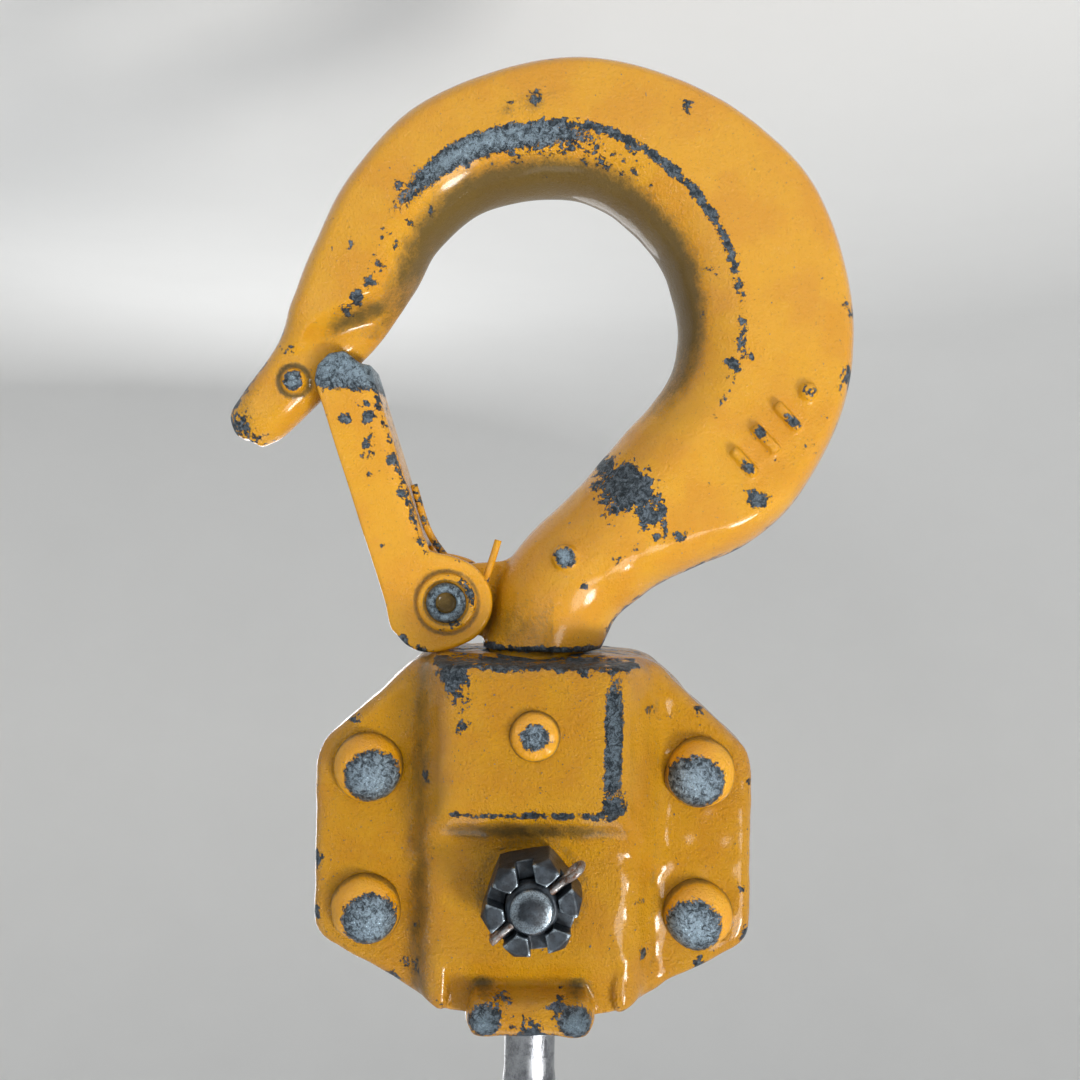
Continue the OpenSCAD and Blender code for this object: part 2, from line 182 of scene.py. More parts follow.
def tidy_field(field, tiny=1e-4):
    """Drops lone inside points and fills diagonal contacts, so that each mesh edge has two faces."""
    for _ in range(3):
        inside = field < 0
        near = np.zeros(field.shape, bool)
        for axis in range(3):
            near |= np.roll(inside, 1, axis) | np.roll(inside, -1, axis)
        field = np.where(inside & ~near, tiny, field)
        for a, b in ((0, 1), (0, 2), (1, 2)):
            inside = field < 0
            next_a, next_b = np.roll(inside, -1, a), np.roll(inside, -1, b)
            across = np.roll(next_a, -1, b)
            falls = inside & across & ~next_a & ~next_b
            rises = ~inside & ~across & next_a & next_b
            field = np.where(rises | np.roll(falls, 1, a), -tiny, field)
    return field


def surface(field, grid):
    """Vertices and quads of the field's zero surface, one vertex in each cell that it passes through."""
    field = tidy_field(field)
    inside = field < 0
    n = np.array(field.shape) - 1
    count = sum(inside[a:a + n[0], b:b + n[1], c:c + n[2]].astype(np.int8) for a, b, c in CORNERS)
    cells = np.argwhere((count > 0) & (count < 8))
    number = np.full(n, -1, np.int64)
    number[tuple(cells.T)] = np.arange(len(cells))
    value = {k: field[tuple((cells + k).T)] for k in CORNERS}
    total, hits = np.zeros((len(cells), 3)), np.zeros(len(cells))
    for p in CORNERS:
        for axis in range(3):
            if p[axis]:
                continue
            q = tuple(c + (i == axis) for i, c in enumerate(p))
            a, b = value[p], value[q]
            crossing = (a < 0) != (b < 0)
            t = np.where(crossing, a / np.where(crossing, a - b, 1), 0)
            spot = np.array(p, float) + t[:, None] * (np.array(q) - np.array(p))
            total += np.where(crossing[:, None], spot, 0)
            hits += crossing
    points = grid.low + (cells + total / hits[:, None]) * grid.step
    quads = []
    for axis in range(3):
        u, v = [(1, 2), (2, 0), (0, 1)][axis]
        first = np.take(inside, range(n[axis]), axis=axis)
        second = np.take(inside, range(1, n[axis] + 1), axis=axis)
        edges = np.argwhere(first != second)
        edges = edges[(edges[:, u] > 0) & (edges[:, v] > 0)]
        edges = edges[(edges[:, u] < n[u]) & (edges[:, v] < n[v])]
        ring = []
        for du, dv in ((1, 1), (0, 1), (0, 0), (1, 0)):
            c = edges.copy()
            c[:, u] -= du
            c[:, v] -= dv
            ring.append(number[tuple(c.T)])
        quad = np.stack(ring, axis=1)
        out = first[tuple(edges.T)]
        quads.append(np.where(out[:, None], quad, quad[:, ::-1]))
    return points, np.concatenate(quads)


# ---------------------------------------------------------------- pieces

def signed_volume(points, faces):
    """Volume inside the faces, negative where they face inwards."""
    by_size = {}
    for face in faces:
        by_size.setdefault(len(face), []).append(face)
    total = 0.0
    for rows in by_size.values():
        p = points[np.array(rows)]
        for k in range(1, p.shape[1] - 1):
            total += np.einsum("ij,ij->", p[:, 0], np.cross(p[:, k], p[:, k + 1])) / 6
    return total


def finish_piece(name, points, faces, body, material, replaces=(), masks=None):
    """Makes a smooth mesh object from millimetre points, with its masks, material and body."""
    mesh = bpy.data.meshes.new(name)
    placed = (points - np.array([0, 0, PIN_DEPTH])) * MM
    faces = faces.tolist() if hasattr(faces, "tolist") else faces
    if signed_volume(points, faces) < 0:
        faces = [face[::-1] for face in faces]
    mesh.from_pydata(placed.tolist(), [], faces)
    mesh.shade_smooth()
    for mask, values in (masks or {}).items():
        layer = mesh.attributes.new(mask, "FLOAT", "POINT")
        layer.data.foreach_set("value", np.asarray(values, np.float32))
    piece = bpy.data.objects.new(name, mesh)
    bpy.context.scene.collection.objects.link(piece)
    mesh.materials.append(material)
    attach(piece, body)
    if replaces:
        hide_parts(*replaces)
    return piece


def turn_y(points, degrees):
    """Turns points about the Y axis by the right-hand rule."""
    return points @ np.array(Matrix.Rotation(math.radians(degrees), 3, "Y")).T


def field_piece(name, grid, field, body, material, replaces=(), wear=None, edge_mm=0.9, place=None):
    """Piece from a distance field. Masks: edge is 1 on sharp outer edges; the hollows mask is 1 in hollows,
    where the paint is darkened with grime and painted shade.
    """
    points, faces = surface(field, grid)
    solid = np.clip(0.5 - field / grid.step, 0, 1).astype(np.float32)
    share = sample(blur(solid, max(1, round(edge_mm / grid.step))), grid, points)
    masks = {
        "edge": np.clip((0.47 - share) * 4, 0, 1),
        # 1 in hollows and creases: darkens the enamel with grime and painted shade
        "grime_and_shade": np.clip((share - 0.53) * 4, 0, 1),
    }
    masks.update(wear(points) if wear else {})
    if place:
        points = place(points)
    return finish_piece(name, points, faces, body, material, replaces, masks)


def lathe(profile, sides=64):
    """Points and faces of a profile of (radius, y) turned about the Y axis. Radius 0 closes an end."""
    points, faces, rows = [], [], []
    for r, y in profile:
        if r == 0:
            rows.append([len(points)] * sides)
            points.append((0, y, 0))
        else:
            rows.append([len(points) + k for k in range(sides)])
            points += [
                (r * math.cos(2 * math.pi * k / sides), y, r * math.sin(2 * math.pi * k / sides))
                for k in range(sides)
            ]
    for low, high in zip(rows, rows[1:]):
        for k in range(sides):
            m = (k + 1) % sides
            face = [low[k], low[m], high[m], high[k]]
            faces.append(list(dict.fromkeys(face)))
    return np.array(points, float), faces


def tube(path, radius, sides=20, closed=False):
    """Points and faces of a round bar along a path. radius is a number or one for each point."""
    path = np.array(path, float)
    n = len(path)
    radius = np.broadcast_to(radius, n)
    if closed:
        direction = np.roll(path, -1, 0) - np.roll(path, 1, 0)
    else:
        direction = np.gradient(path, axis=0)
    direction /= np.linalg.norm(direction, axis=1)[:, None]
    side = np.cross(direction[0], [0.3, 0.5, 0.81])
    points = []
    angles = 2 * math.pi * np.arange(sides) / sides
    for k in range(n):
        side = side - direction[k] * (side @ direction[k])
        side /= np.linalg.norm(side)
        other = np.cross(direction[k], side)
        ring = np.outer(np.cos(angles), side) + np.outer(np.sin(angles), other)
        points.append(path[k] + radius[k] * ring)
    shift = 0
    if closed:
        seam = points[0] - path[0]
        turned = [np.abs(np.roll(points[-1] - path[-1], -s, 0) - seam).sum() for s in range(sides)]
        shift = int(np.argmin(turned))
    faces = []
    for k in range(n if closed else n - 1):
        m, s = (k + 1) % n, shift if k == n - 1 else 0
        for j in range(sides):
            i = (j + 1) % sides
            a, b = k * sides + (j + s) % sides, k * sides + (i + s) % sides
            faces.append([a, b, m * sides + i, m * sides + j])
    if not closed:
        faces.append(list(range(sides))[::-1])
        faces.append([(n - 1) * sides + j for j in range(sides)])
    return np.concatenate(points), faces


def spline(points, steps):
    """Catmull-Rom points through the rows of points."""
    points = np.array(points, float)
    last = len(points) - 1
    made = []
    for i in range(last * steps + 1):
        k = min(i // steps, last - 1)
        t = i / steps - k
        p, q = points[max(0, k - 1)], points[k]
        r, s = points[min(last, k + 1)], points[min(last, k + 2)]
        made.append(q + 0.5 * t * ((r - p) + t * ((2 * p - 5 * q + 4 * r - s) + t * (3 * (q - r) + s - p))))
    return np.array(made)


# ---------------------------------------------------------------- materials

class Shader:
    """Builds a procedural material. Its patterns follow the object's own coordinates, in millimetres."""

    def __init__(self, name):
        self.material = bpy.data.materials.new(name)
        self.material.use_nodes = True
        self.nodes, self.links = self.material.node_tree.nodes, self.material.node_tree.links
        self.nodes.clear()
        self.out = self.nodes.new("ShaderNodeOutputMaterial")
        self.surface = self.nodes.new("ShaderNodeBsdfPrincipled")
        self.links.new(self.surface.outputs[0], self.out.inputs[0])
        self.mm = self.node("ShaderNodeVectorMath", operation="SCALE", inputs={
            "Vector": self.node("ShaderNodeTexCoord").outputs["Object"], "Scale": 1 / MM,
        }).outputs[0]

    def node(self, kind, inputs=None, **settings):
        made = self.nodes.new(kind)
        for key, value in settings.items():
            setattr(made, key, value)
        for key, value in (inputs or {}).items():
            self.put(made.inputs[key], value)
        return made

    def put(self, socket, value):
        if isinstance(value, bpy.types.NodeSocket):
            self.links.new(value, socket)
        elif isinstance(value, tuple) and len(value) == 3 and socket.type == "RGBA":
            socket.default_value = (*value, 1)
        else:
            socket.default_value = value

    def noise(self, per_mm, detail=4, roughness=0.55, shift=0.0, distortion=0.0):
        moved = self.node("ShaderNodeVectorMath", operation="ADD", inputs={0: self.mm, 1: (shift,) * 3})
        return self.node("ShaderNodeTexNoise", inputs={
            "Vector": moved.outputs[0], "Scale": per_mm, "Detail": detail,
            "Roughness": roughness, "Distortion": distortion,
        }).outputs[0]

    def attribute(self, name):
        return self.node("ShaderNodeAttribute", attribute_name=name).outputs["Fac"]

    def math(self, operation, a, b=0.0, c=0.0):
        return self.node("ShaderNodeMath", operation=operation, inputs={0: a, 1: b, 2: c}).outputs[0]

    def weighted(self, *pairs):
        total = 0.0
        for value, weight in pairs:
            total = self.math("MULTIPLY_ADD", value, weight, total)
        return total

    def step(self, value, low, high, to_low=0.0, to_high=1.0):
        return self.node("ShaderNodeMapRange", interpolation_type="SMOOTHSTEP", inputs={
            "Value": value, "From Min": low, "From Max": high, "To Min": to_low, "To Max": to_high,
        }).outputs[0]

    def mix(self, share, a, b):
        made = self.node("ShaderNodeMix", data_type="RGBA")
        self.put(made.inputs[0], share)
        self.put(made.inputs[6], a)
        self.put(made.inputs[7], b)
        return made.outputs[2]

    def bump(self, height, distance_mm, strength=1.0):
        made = self.node("ShaderNodeBump", inputs={
            "Height": height, "Distance": distance_mm * MM, "Strength": strength,
        })
        self.links.new(made.outputs[0], self.surface.inputs["Normal"])

    def set(self, **values):
        for key, value in values.items():
            self.put(self.surface.inputs[key.replace("_", " ")], value)
        return self.material


ENAMEL = (0.82, 0.385, 0.002)
ENAMEL_DEEP = (0.77, 0.335, 0.002)
ENAMEL_PALE = (0.86, 0.46, 0.02)
# dark olive for paint pits, grime and painted shade
GRIME_AND_SHADE = (0.085, 0.062, 0.008)
PRIMER = (0.075, 0.045, 0.016)
CHIP_DARK = (0.030, 0.040, 0.050)
CHIP_LIGHT = (0.22, 0.275, 0.33)
WORN_STEEL = (0.30, 0.40, 0.48)


def enamel(name, shift, peel=0.5, speckle=0.0):
    """Glossy enamel over dark steel. Masks: chip and edge bare it, worn polishes, and the dirt and hollows
    masks darken it with grime and painted shade.
    """
    s = Shader(name)
    chip, edge, hollow = s.attribute("chip"), s.attribute("edge"), s.attribute("grime_and_shade")
    dirt, worn = s.attribute("dirt"), s.attribute("worn")
    broad = s.noise(0.16, 3, 0.5, shift)
    medium = s.noise(0.62, 5, 0.60, shift + 7, 0.2)
    flakes = s.noise(1.9, 4, 0.65, shift + 19, 0.15)
    fine = s.noise(3.4, 4, 0.6, shift + 13)
    grain = s.noise(9.0, 3, 0.6, shift + 21)

    reach = s.weighted((chip, 0.36), (edge, 0.15), (medium, 0.62), (flakes, 0.52))
    limit = 0.80
    bare = s.step(reach, limit, limit + 0.01)
    rim = s.step(reach, limit - 0.018, limit - 0.004)
    speck = s.step(s.weighted((flakes, 0.75), (fine, 0.55)), 0.850 - speckle, 0.860 - speckle)
    rubbed = s.weighted((worn, 0.58), (flakes, 0.30), (medium, 0.25), (fine, 0.30), (grain, 0.22))
    rubbed = s.step(rubbed, 0.78, 0.81)
    bare = s.math("MAXIMUM", s.math("MAXIMUM", bare, speck), rubbed)
    rim = s.math("MAXIMUM", s.math("MAXIMUM", rim, speck), rubbed)

    paint = s.mix(s.step(broad, 0.36, 0.62), ENAMEL_DEEP, ENAMEL)
    paint = s.mix(s.step(s.noise(0.8, 5, 0.7, shift + 3), 0.52, 0.75, 0.0, 0.30), paint, ENAMEL_PALE)
    pits = s.step(s.weighted((grain, 0.5), (fine, 0.6)), 0.64, 0.74, 0.0, 0.55)
    paint = s.mix(pits, paint, GRIME_AND_SHADE)
    # darkening from the hollows and dirt masks: real grime together with painted shade in hollows, creases
    # and shaded sides
    soil_and_shade = s.weighted((hollow, 0.62), (dirt, 0.72), (medium, 0.45), (fine, 0.35), (grain, 0.2))
    soil_and_shade = s.step(soil_and_shade, 0.70, 1.22, 0.0, 0.90)
    paint = s.mix(soil_and_shade, paint, GRIME_AND_SHADE)
    paint = s.mix(rim, paint, PRIMER)
    mottle = s.weighted((s.noise(1.5, 6, 0.75, shift + 17, 0.8), 0.8), (grain, 0.2))
    steel = s.mix(s.step(mottle, 0.42, 0.66), CHIP_DARK, CHIP_LIGHT)
    polish = s.step(s.weighted((worn, 0.50), (mottle, 1.5), (grain, 0.25)), 1.10, 1.55)
    steel = s.mix(polish, steel, WORN_STEEL)
    colour = s.mix(bare, paint, steel)

    gloss = s.weighted((soil_and_shade, 0.42), (pits, 0.18), (fine, 0.14), (0.10, 1.0))
    metal = s.math("MULTIPLY_ADD", polish, -0.20, 0.46)
    rough = s.weighted((s.math("SUBTRACT", 1.0, bare), gloss), (bare, metal))
    height = s.weighted(
        (bare, -0.9), (rim, -0.2), (medium, 0.28),
        (flakes, 1.1 * peel), (fine, 1.5 * peel), (grain, 0.5 * peel),
    )
    s.bump(height, 0.22, 1.0)
    return s.set(
        Base_Color=colour, Roughness=rough, Metallic=s.math("MULTIPLY", bare, 0.8),
        Coat_Weight=s.math("MULTIPLY_ADD", bare, -0.45, 0.45), Coat_Roughness=0.12,
    )


def dark_steel(name, shift):
    """Black oxide that is rubbed to bright steel along its edges."""
    s = Shader(name)
    edge = s.attribute("edge")
    cloud, fine = s.noise(0.9, 5, 0.6, shift), s.noise(5.5, 5, 0.65, shift + 9)
    rub = s.step(s.weighted((edge, 0.70), (cloud, 0.4), (fine, 0.5)), 0.74, 1.10)
    base = s.mix(s.step(cloud, 0.35, 0.7), (0.014, 0.019, 0.026), (0.055, 0.072, 0.092))
    colour = s.mix(rub, base, (0.30, 0.36, 0.41))
    s.bump(s.weighted((fine, 1.0), (cloud, 0.7)), 0.06, 0.8)
    return s.set(
        Base_Color=colour, Metallic=s.step(rub, 0, 1, 0.35, 0.95),
        Roughness=s.step(s.weighted((fine, 1.0), (rub, -0.2)), 0.25, 0.75, 0.24, 0.50),
    )


def bright_steel(name, shift, base=(0.45, 0.47, 0.50), dull=(0.20, 0.21, 0.23)):
    """Plated or rubbed steel with dull clouds and fine scratches."""
    s = Shader(name)
    cloud, fine = s.noise(0.5, 6, 0.65, shift), s.noise(6.0, 4, 0.6, shift + 5)
    streak = s.node("ShaderNodeTexNoise", inputs={
        "Vector": s.node("ShaderNodeVectorMath", operation="MULTIPLY", inputs={
            0: s.mm, 1: (3.0, 3.0, 0.25)}).outputs[0],
        "Scale": 1.4, "Detail": 3.0,
    }).outputs[0]
    colour = s.mix(s.step(s.weighted((cloud, 0.7), (fine, 0.35)), 0.38, 0.66), dull, base)
    colour = s.mix(s.step(fine, 0.63, 0.72, 0.0, 0.7), colour, (0.07, 0.075, 0.08))
    s.bump(s.weighted((fine, 0.8), (streak, 0.8), (cloud, 0.6)), 0.05, 0.7)
    rough = s.step(s.weighted((cloud, 0.6), (streak, 0.4)), 0.3, 0.7, 0.20, 0.42)
    return s.set(Base_Color=colour, Metallic=0.92, Roughness=rough)


def rusty_steel(name, shift):
    """Bright steel wire that is going brown."""
    s = Shader(name)
    cloud, fine = s.noise(0.8, 5, 0.6, shift), s.noise(5.0, 5, 0.65, shift + 9)
    rust = s.step(s.weighted((cloud, 0.8), (fine, 0.4)), 0.52, 0.72)
    colour = s.mix(rust, (0.42, 0.42, 0.42), s.mix(fine, (0.05, 0.022, 0.012), (0.21, 0.085, 0.03)))
    s.bump(s.weighted((fine, 1.0), (cloud, 0.5)), 0.07, 0.8)
    metal, rough = s.step(rust, 0, 1, 0.9, 0.15), s.step(rust, 0, 1, 0.28, 0.7)
    return s.set(Base_Color=colour, Metallic=metal, Roughness=rough)


HOOK_PAINT = enamel("hook_enamel", 3.0, 0.70, 0.008)
YOKE_PAINT = enamel("yoke_enamel", 41.0, 2.1, 0.024)
LATCH_PAINT = enamel("latch_enamel", 83.0, 0.40)
RIVET_PAINT = enamel("rivet_enamel", 127.0, 0.6)
BLACK = dark_steel("blackened_steel", 5.0)
CHAIN = bright_steel("chain_steel", 11.0)
PLAIN = bright_steel("plain_steel", 29.0, (0.33, 0.34, 0.36), (0.12, 0.12, 0.13))
RUSTY = rusty_steel("rusty_steel", 53.0)


def spots(points, places):
    """Soft round spots: each place is x, z, radius, strength in the x-z plane."""
    value = np.zeros(len(points))
    for x, z, r, strength in places:
        d = np.hypot(points[:, 0] - x, points[:, 2] - z) / r
        value = np.maximum(value, strength * np.exp(-d ** 2))
    return value


# ---------------------------------------------------------------- hook

# Inner point x, z; outer point x, z; half thickness; depth of the inner and of the outer rounding
HOOK_SECTIONS = [
    (7.5, -26.0, -7.5, -26.0, 7.5, 7.5, 7.5),
    (5.6, -31.0, -9.9, -31.0, 7.5, 7.5, 7.5),
    (4.6, -36.0, -13.0, -33.8, 7.6, 7.8, 7.6),
    (1.5, -41.0, -15.2, -35.4, 7.8, 7.8, 7.0),
    (-4.5, -47.0, -19.4, -37.5, 7.9, 7.4, 5.6),
    (-10.3, -53.9, -26.2, -40.8, 7.9, 7.0, 4.2),
    (-13.8, -57.9, -32.3, -47.0, 7.6, 7.0, 3.2),
    (-16.4, -62.5, -37.4, -58.4, 7.6, 7.2, 2.6),
    (-16.7, -68.8, -37.6, -71.4, 7.6, 7.2, 2.4),
    (-14.0, -76.0, -31.9, -85.6, 7.6, 7.2, 2.4),
    (-7.8, -81.7, -19.0, -95.6, 7.6, 7.0, 2.4),
    (-1.1, -83.4, -2.8, -99.4, 7.6, 6.8, 2.6),
    (7.3, -81.8, 14.2, -94.4, 7.3, 6.2, 3.0),
    (12.9, -77.0, 23.6, -85.4, 6.9, 5.6, 3.0),
    (15.4, -72.3, 28.4, -76.1, 6.5, 5.2, 3.0),
    (17.7, -68.1, 31.0, -69.3, 6.4, 4.8, 3.0),
    (20.2, -64.6, 32.5, -65.3, 5.8, 3.4, 2.6),
    (24.4, -60.4, 34.5, -62.0, 3.1, 2.8, 2.4),
    (28.9, -55.9, 37.2, -58.2, 3.1, 2.6, 2.4),
    (32.0, -52.9, 38.7, -55.5, 2.7, 2.4, 2.4),
    (34.5, -51.5, 38.1, -53.0, 1.4, 1.6, 1.6),
]
sections = spline(HOOK_SECTIONS, 20)
INNER, OUTER = sections[:, 0:2], sections[:, 2:4]
# The tip is thinned beyond this line, to go between the latch's cheeks: a point on it and its normal
STEP_X, STEP_Z, STEP_NX, STEP_NZ = 23.0, -65.9, 0.414, -0.910
TIP_HALF_T, STEP_RISE, STEP_RUN = 3.15, 3.6, 2.6
THINNED_FROM_X = 8
# Below 1, the saddle's rounding meets the flat face in a soft crease
SADDLE_CREASE = 0.80
NECK_TOP_Z, SHANK_R, GROOVE_R = -27.3, 5.9, 4.5
LUG_R, LUG_IN_Y, LUG_OUT_Y = 4.4, -0.75, 3.2
LATCH_PIN_R = 2.13
NECK_BOSS, TIP_BOSS, BOSS_R = (-3.2, -38.6), (30.2, -59.5), 1.5
FRONT_FACE_Y = -8.05


def nearest(px, pz, line):
    """Number of the nearest point in a line of dense points."""
    best, which = np.full(px.shape, np.inf), np.zeros(px.shape, int)
    for k, (x, z) in enumerate(line):
        d = (px - x) ** 2 + (pz - z) ** 2
        closer = d < best
        best[closer] = d[closer]
        which[closer] = k
    return which


def line_distance(px, pz, line):
    best = np.full(px.shape, np.inf)
    for (ax, az), (bx, bz) in zip(line[:-1], line[1:]):
        ex, ez = bx - ax, bz - az
        t = np.clip(((px - ax) * ex + (pz - az) * ez) / max(ex * ex + ez * ez, 1e-9), 0, 1)
        best = np.minimum(best, (px - ax - t * ex) ** 2 + (pz - az - t * ez) ** 2)
    return np.sqrt(best)


def past_step(px, pz):
    """Distance from the line where the tip is thinned, towards the bowl."""
    return (px - STEP_X) * STEP_NX + (pz - STEP_Z) * STEP_NZ


def hook_plan(px, pz):
    """Depth inside the inner and outer edge, half thickness, and both depths of rounding, at x and z."""
    d_in, d_out = line_distance(px, pz, INNER), line_distance(px, pz, OUTER)
    outline = [tuple(p) for p in INNER] + [tuple(p) for p in OUTER[::-1]]
    inside = polygon_field(px, pz, outline[::2]) < 0
    which = nearest(px, pz, (INNER + OUTER) / 2)
    inner_side = d_in < d_out
    depth_in = np.where(inside | ~inner_side, d_in, -d_in)
    depth_out = np.where(inside | inner_side, d_out, -d_out)
    past = past_step(px, pz)
    limit = TIP_HALF_T + STEP_RISE * np.clip(past / STEP_RUN, 0, 1) ** 1.5 + np.maximum(past - STEP_RUN, 0)
    half_t = sections[which, 4]
    half_t = np.where(px > THINNED_FROM_X, np.minimum(half_t, limit), half_t)
    return depth_in, depth_out, half_t, sections[which, 5], sections[which, 6]


def hook_field(g):
    px, pz = np.broadcast_arrays(g.x[:, 0, :], g.z[0, 0, :][None, :])
    depth_in, depth_out, half_t, round_in, round_out = hook_plan(px, pz)
    q_in = (np.maximum(round_in - depth_in, 0) / round_in) ** SADDLE_CREASE
    q_out = np.maximum(round_out - depth_out, 0) / round_out
    crown = 1 + 0.03 * np.clip(np.minimum(depth_in, depth_out) / 8, 0, 1)
    across = np.abs(g.y) / (half_t * crown)[:, None, :]
    flat = np.maximum(length(q_in[:, None, :], across), length(q_out[:, None, :], across)) - 1
    field = flat * half_t[:, None, :]
    field = np.maximum(field, g.z - NECK_TOP_Z)
    field = field + 0.03 + 0.07 * ripple(g.x, g.y, g.z, 7, 3) + 0.03 * ripple(g.x, g.y, g.z, 2.2, 4)

    # lug for the latch, gauge bosses on both faces, and the turned shank
    lug = polygon_field(g.x, g.z, [(2, -28.8), (10.9, -28.5), (15.3, -32.9), (10.9, -37.3), (3, -38)])
    from_pivot = length(g.x - PIVOT_X, g.z - PIVOT_Z)
    lug = np.minimum(from_pivot - LUG_R, np.maximum(lug, g.x - PIVOT_X))
    lug = rounded(lug, slab(g.y, LUG_IN_Y, LUG_OUT_Y), 0.5)
    field = smooth_min(field, lug, 1.0)
    for (x, z), top in ((NECK_BOSS, 8.0), (TIP_BOSS, 3.8)):
        boss = rounded(length(g.x - x, g.z - z) - BOSS_R, np.abs(g.y) - top, 0.45)
        field = smooth_min(field, boss, 0.5)
    radius = length(g.x, g.y)
    shank = np.maximum(radius - SHANK_R, slab(g.z, -29, -14.1))
    field = smooth_min(field, shank, 0.4)
    groove = np.maximum(GROOVE_R - radius, slab(g.z, -20, -16.4))
    field = np.maximum(field, -groove)
    return np.maximum(field, LATCH_PIN_R - from_pivot)


def forging_marks(g, field):
    """Generic raised marks on the hook's front: three short bars and a dot."""
    depth = g.y - FRONT_FACE_Y
    for k in range(3):
        cx, cz = -24.0 - 2.5 * k, -50.2 - 2.7 * k
        u = (g.x - cx) * 0.72 + (g.z - cz) * 0.69
        v = -(g.x - cx) * 0.69 + (g.z - cz) * 0.72
        bar = rounded(np.maximum(np.abs(u) - 0.6, np.abs(v) - 2.0), np.abs(depth) - 0.80, 0.45)
        field = smooth_min(field, bar, 0.5)
    dot = length(g.x + 31.4, depth * 1.3, g.z + 58.6) - 1.1
    return smooth_min(field, dot, 0.5)


# Places on the hook where the enamel is chipped, smudged or worn: x, z, radius, strength
HOOK_CHIPS = [
    (-10.2, -47.0, 3.6, 1.25), (-13.2, -43.9, 2.2, 1.1), (-8.0, -49.6, 2.0, 0.95), (-25.6, -45.8, 1.3, 1.0),
    (-14.6, -41.6, 1.5, 0.8), (-11.8, -40.0, 1.3, 0.65), (-5.5, -35.2, 1.0, 0.5), (-9.4, -38.4, 1.2, 0.55),
    (-37.0, -60.2, 2.0, 0.85), (-36.4, -54.6, 1.4, 0.7), (37.0, -54.0, 2.2, 0.7), (35.0, -52.6, 1.8, 0.6),
    (10.0, -85.5, 1.4, 0.6), (17.4, -82.4, 1.0, 0.85), (-22.4, -62.0, 1.1, 0.95), (-24.6, -62.6, 0.8, 0.9),
    (20.0, -71.0, 1.4, 0.55), (22.6, -75.6, 1.2, 0.55), (-20.6, -47.6, 1.0, 0.5), (-28.0, -50.4, 0.8, 0.5),
    (1.6, -93.0, 1.8, 0.62), (4.6, -92.0, 1.3, 0.60), (-0.8, -93.8, 1.2, 0.55), (0.2, -98.6, 1.4, 0.7),
    (-17.0, -92.4, 1.2, 0.7), (-16.4, -41.2, 1.2, 0.75), (-7.6, -44.2, 1.0, 0.6), (30.6, -63.0, 1.0, 0.6),
    (33.8, -57.4, 0.9, 0.55), (-12.8, -49.2, 1.2, 0.6), (-31.6, -52.2, 0.9, 0.55), (-36.8, -68.0, 1.2, 0.7),
    (23.4, -67.6, 0.9, 0.9), (22.2, -69.2, 1.0, 0.95), (20.8, -71.0, 1.0, 0.9), (19.3, -73.0, 1.0, 0.85),
    (17.7, -75.6, 0.9, 0.8), (16.2, -78.2, 0.9, 0.75), (25.4, -74.6, 0.8, 0.6),
    (13.4, -79.8, 1.2, 0.55), (-19.6, -68.0, 1.1, 0.6), (-20.4, -73.2, 1.2, 0.6), (-24.4, -49.6, 1.0, 0.75),
    (-26.0, -53.4, 1.1, 0.75), (-29.6, -55.0, 1.0, 0.75), (-31.4, -58.6, 0.9, 0.7),
]
HOOK_SMUDGES = [(1.6, -92.2, 2.4, 0.62), (4.6, -91.4, 1.6, 0.55), (-0.6, -93.4, 1.4, 0.5)]
HOOK_WORN = [(*TIP_BOSS, 1.25, 1.1), (*NECK_BOSS, 1.25, 1.1), (-24.0, -50.2, 1.6, 0.4)]


def hook_wear(points):
    x, y, z = points.T
    depth_in, depth_out, half_t, round_in, _ = hook_plan(x, z)
    angle = np.degrees(np.arctan2(-(z + 65.0), -(x + 1.1)))
    bearing = np.clip(1.2 - np.abs(angle - 72) / 95, 0, 1) ** 0.6
    face = np.clip(np.abs(y) / half_t, 0, 1) ** 3
    crease = 0.95 * bearing * np.exp(-((depth_in - round_in * 0.93) / 0.85) ** 2) * face
    load = np.exp(-((angle - 110) / 34) ** 2) * np.exp(-((depth_in - 5.3) / 1.5) ** 2)
    bruise = np.exp(-((angle - 92) / 36) ** 2) * np.exp(-((depth_in - 4.2) / 2.3) ** 2)
    parting = 0.72 * np.exp(-(depth_out / 1.2) ** 2) * np.exp(-(y / 5.0) ** 4)
    neck_ring = 0.9 * np.exp(-((z + 27.6) / 0.55) ** 2)
    chip = np.maximum.reduce([crease, 0.66 * bruise, parting, neck_ring, spots(points, HOOK_CHIPS)])
    worn = np.maximum(1.05 * load, spots(points, HOOK_WORN) * face)
    # darker along the step where the tip is thinned: painted shade on the step face, with grime
    at_step = 0.92 * np.exp(-((past_step(x, z) - 1.0) / 1.2) ** 2)
    at_step *= np.exp(-((x - STEP_X + 1.0) / 4.6) ** 4)
    tip = np.clip((x - 31.5) / 4, 0, 1) * 0.45
    # dark ring at the foot of the tip's boss: painted shade with grime
    boss_ring = 0.9 * np.exp(-((np.hypot(x - TIP_BOSS[0], z - TIP_BOSS[1]) - 1.9) / 0.5) ** 2)
    # darker on the neck's +x side by the lug: painted shade
    neck = 0.55 * np.exp(-((z + 30) / 5) ** 2) * (x > -2)
    # darker along the bowl's inner edge: painted shade together with grime
    saddle = 1.25 * np.exp(-((depth_in - 0.8) / 2.6) ** 2) * np.clip(bearing + 0.2, 0, 1)
    dirt = np.maximum.reduce([at_step, tip, boss_ring, neck, saddle, spots(points, HOOK_SMUDGES)])
    return {"chip": chip, "dirt": dirt, "worn": worn}


def make_hook():
    low, high = node_box("hook")
    g = Grid(low - 1, high + 1, 0.36)
    field = forging_marks(g, hook_field(g))
    field_piece("hook_forging", g, field, "hook", HOOK_PAINT, ["hook"], hook_wear)


# ---------------------------------------------------------------- half shells

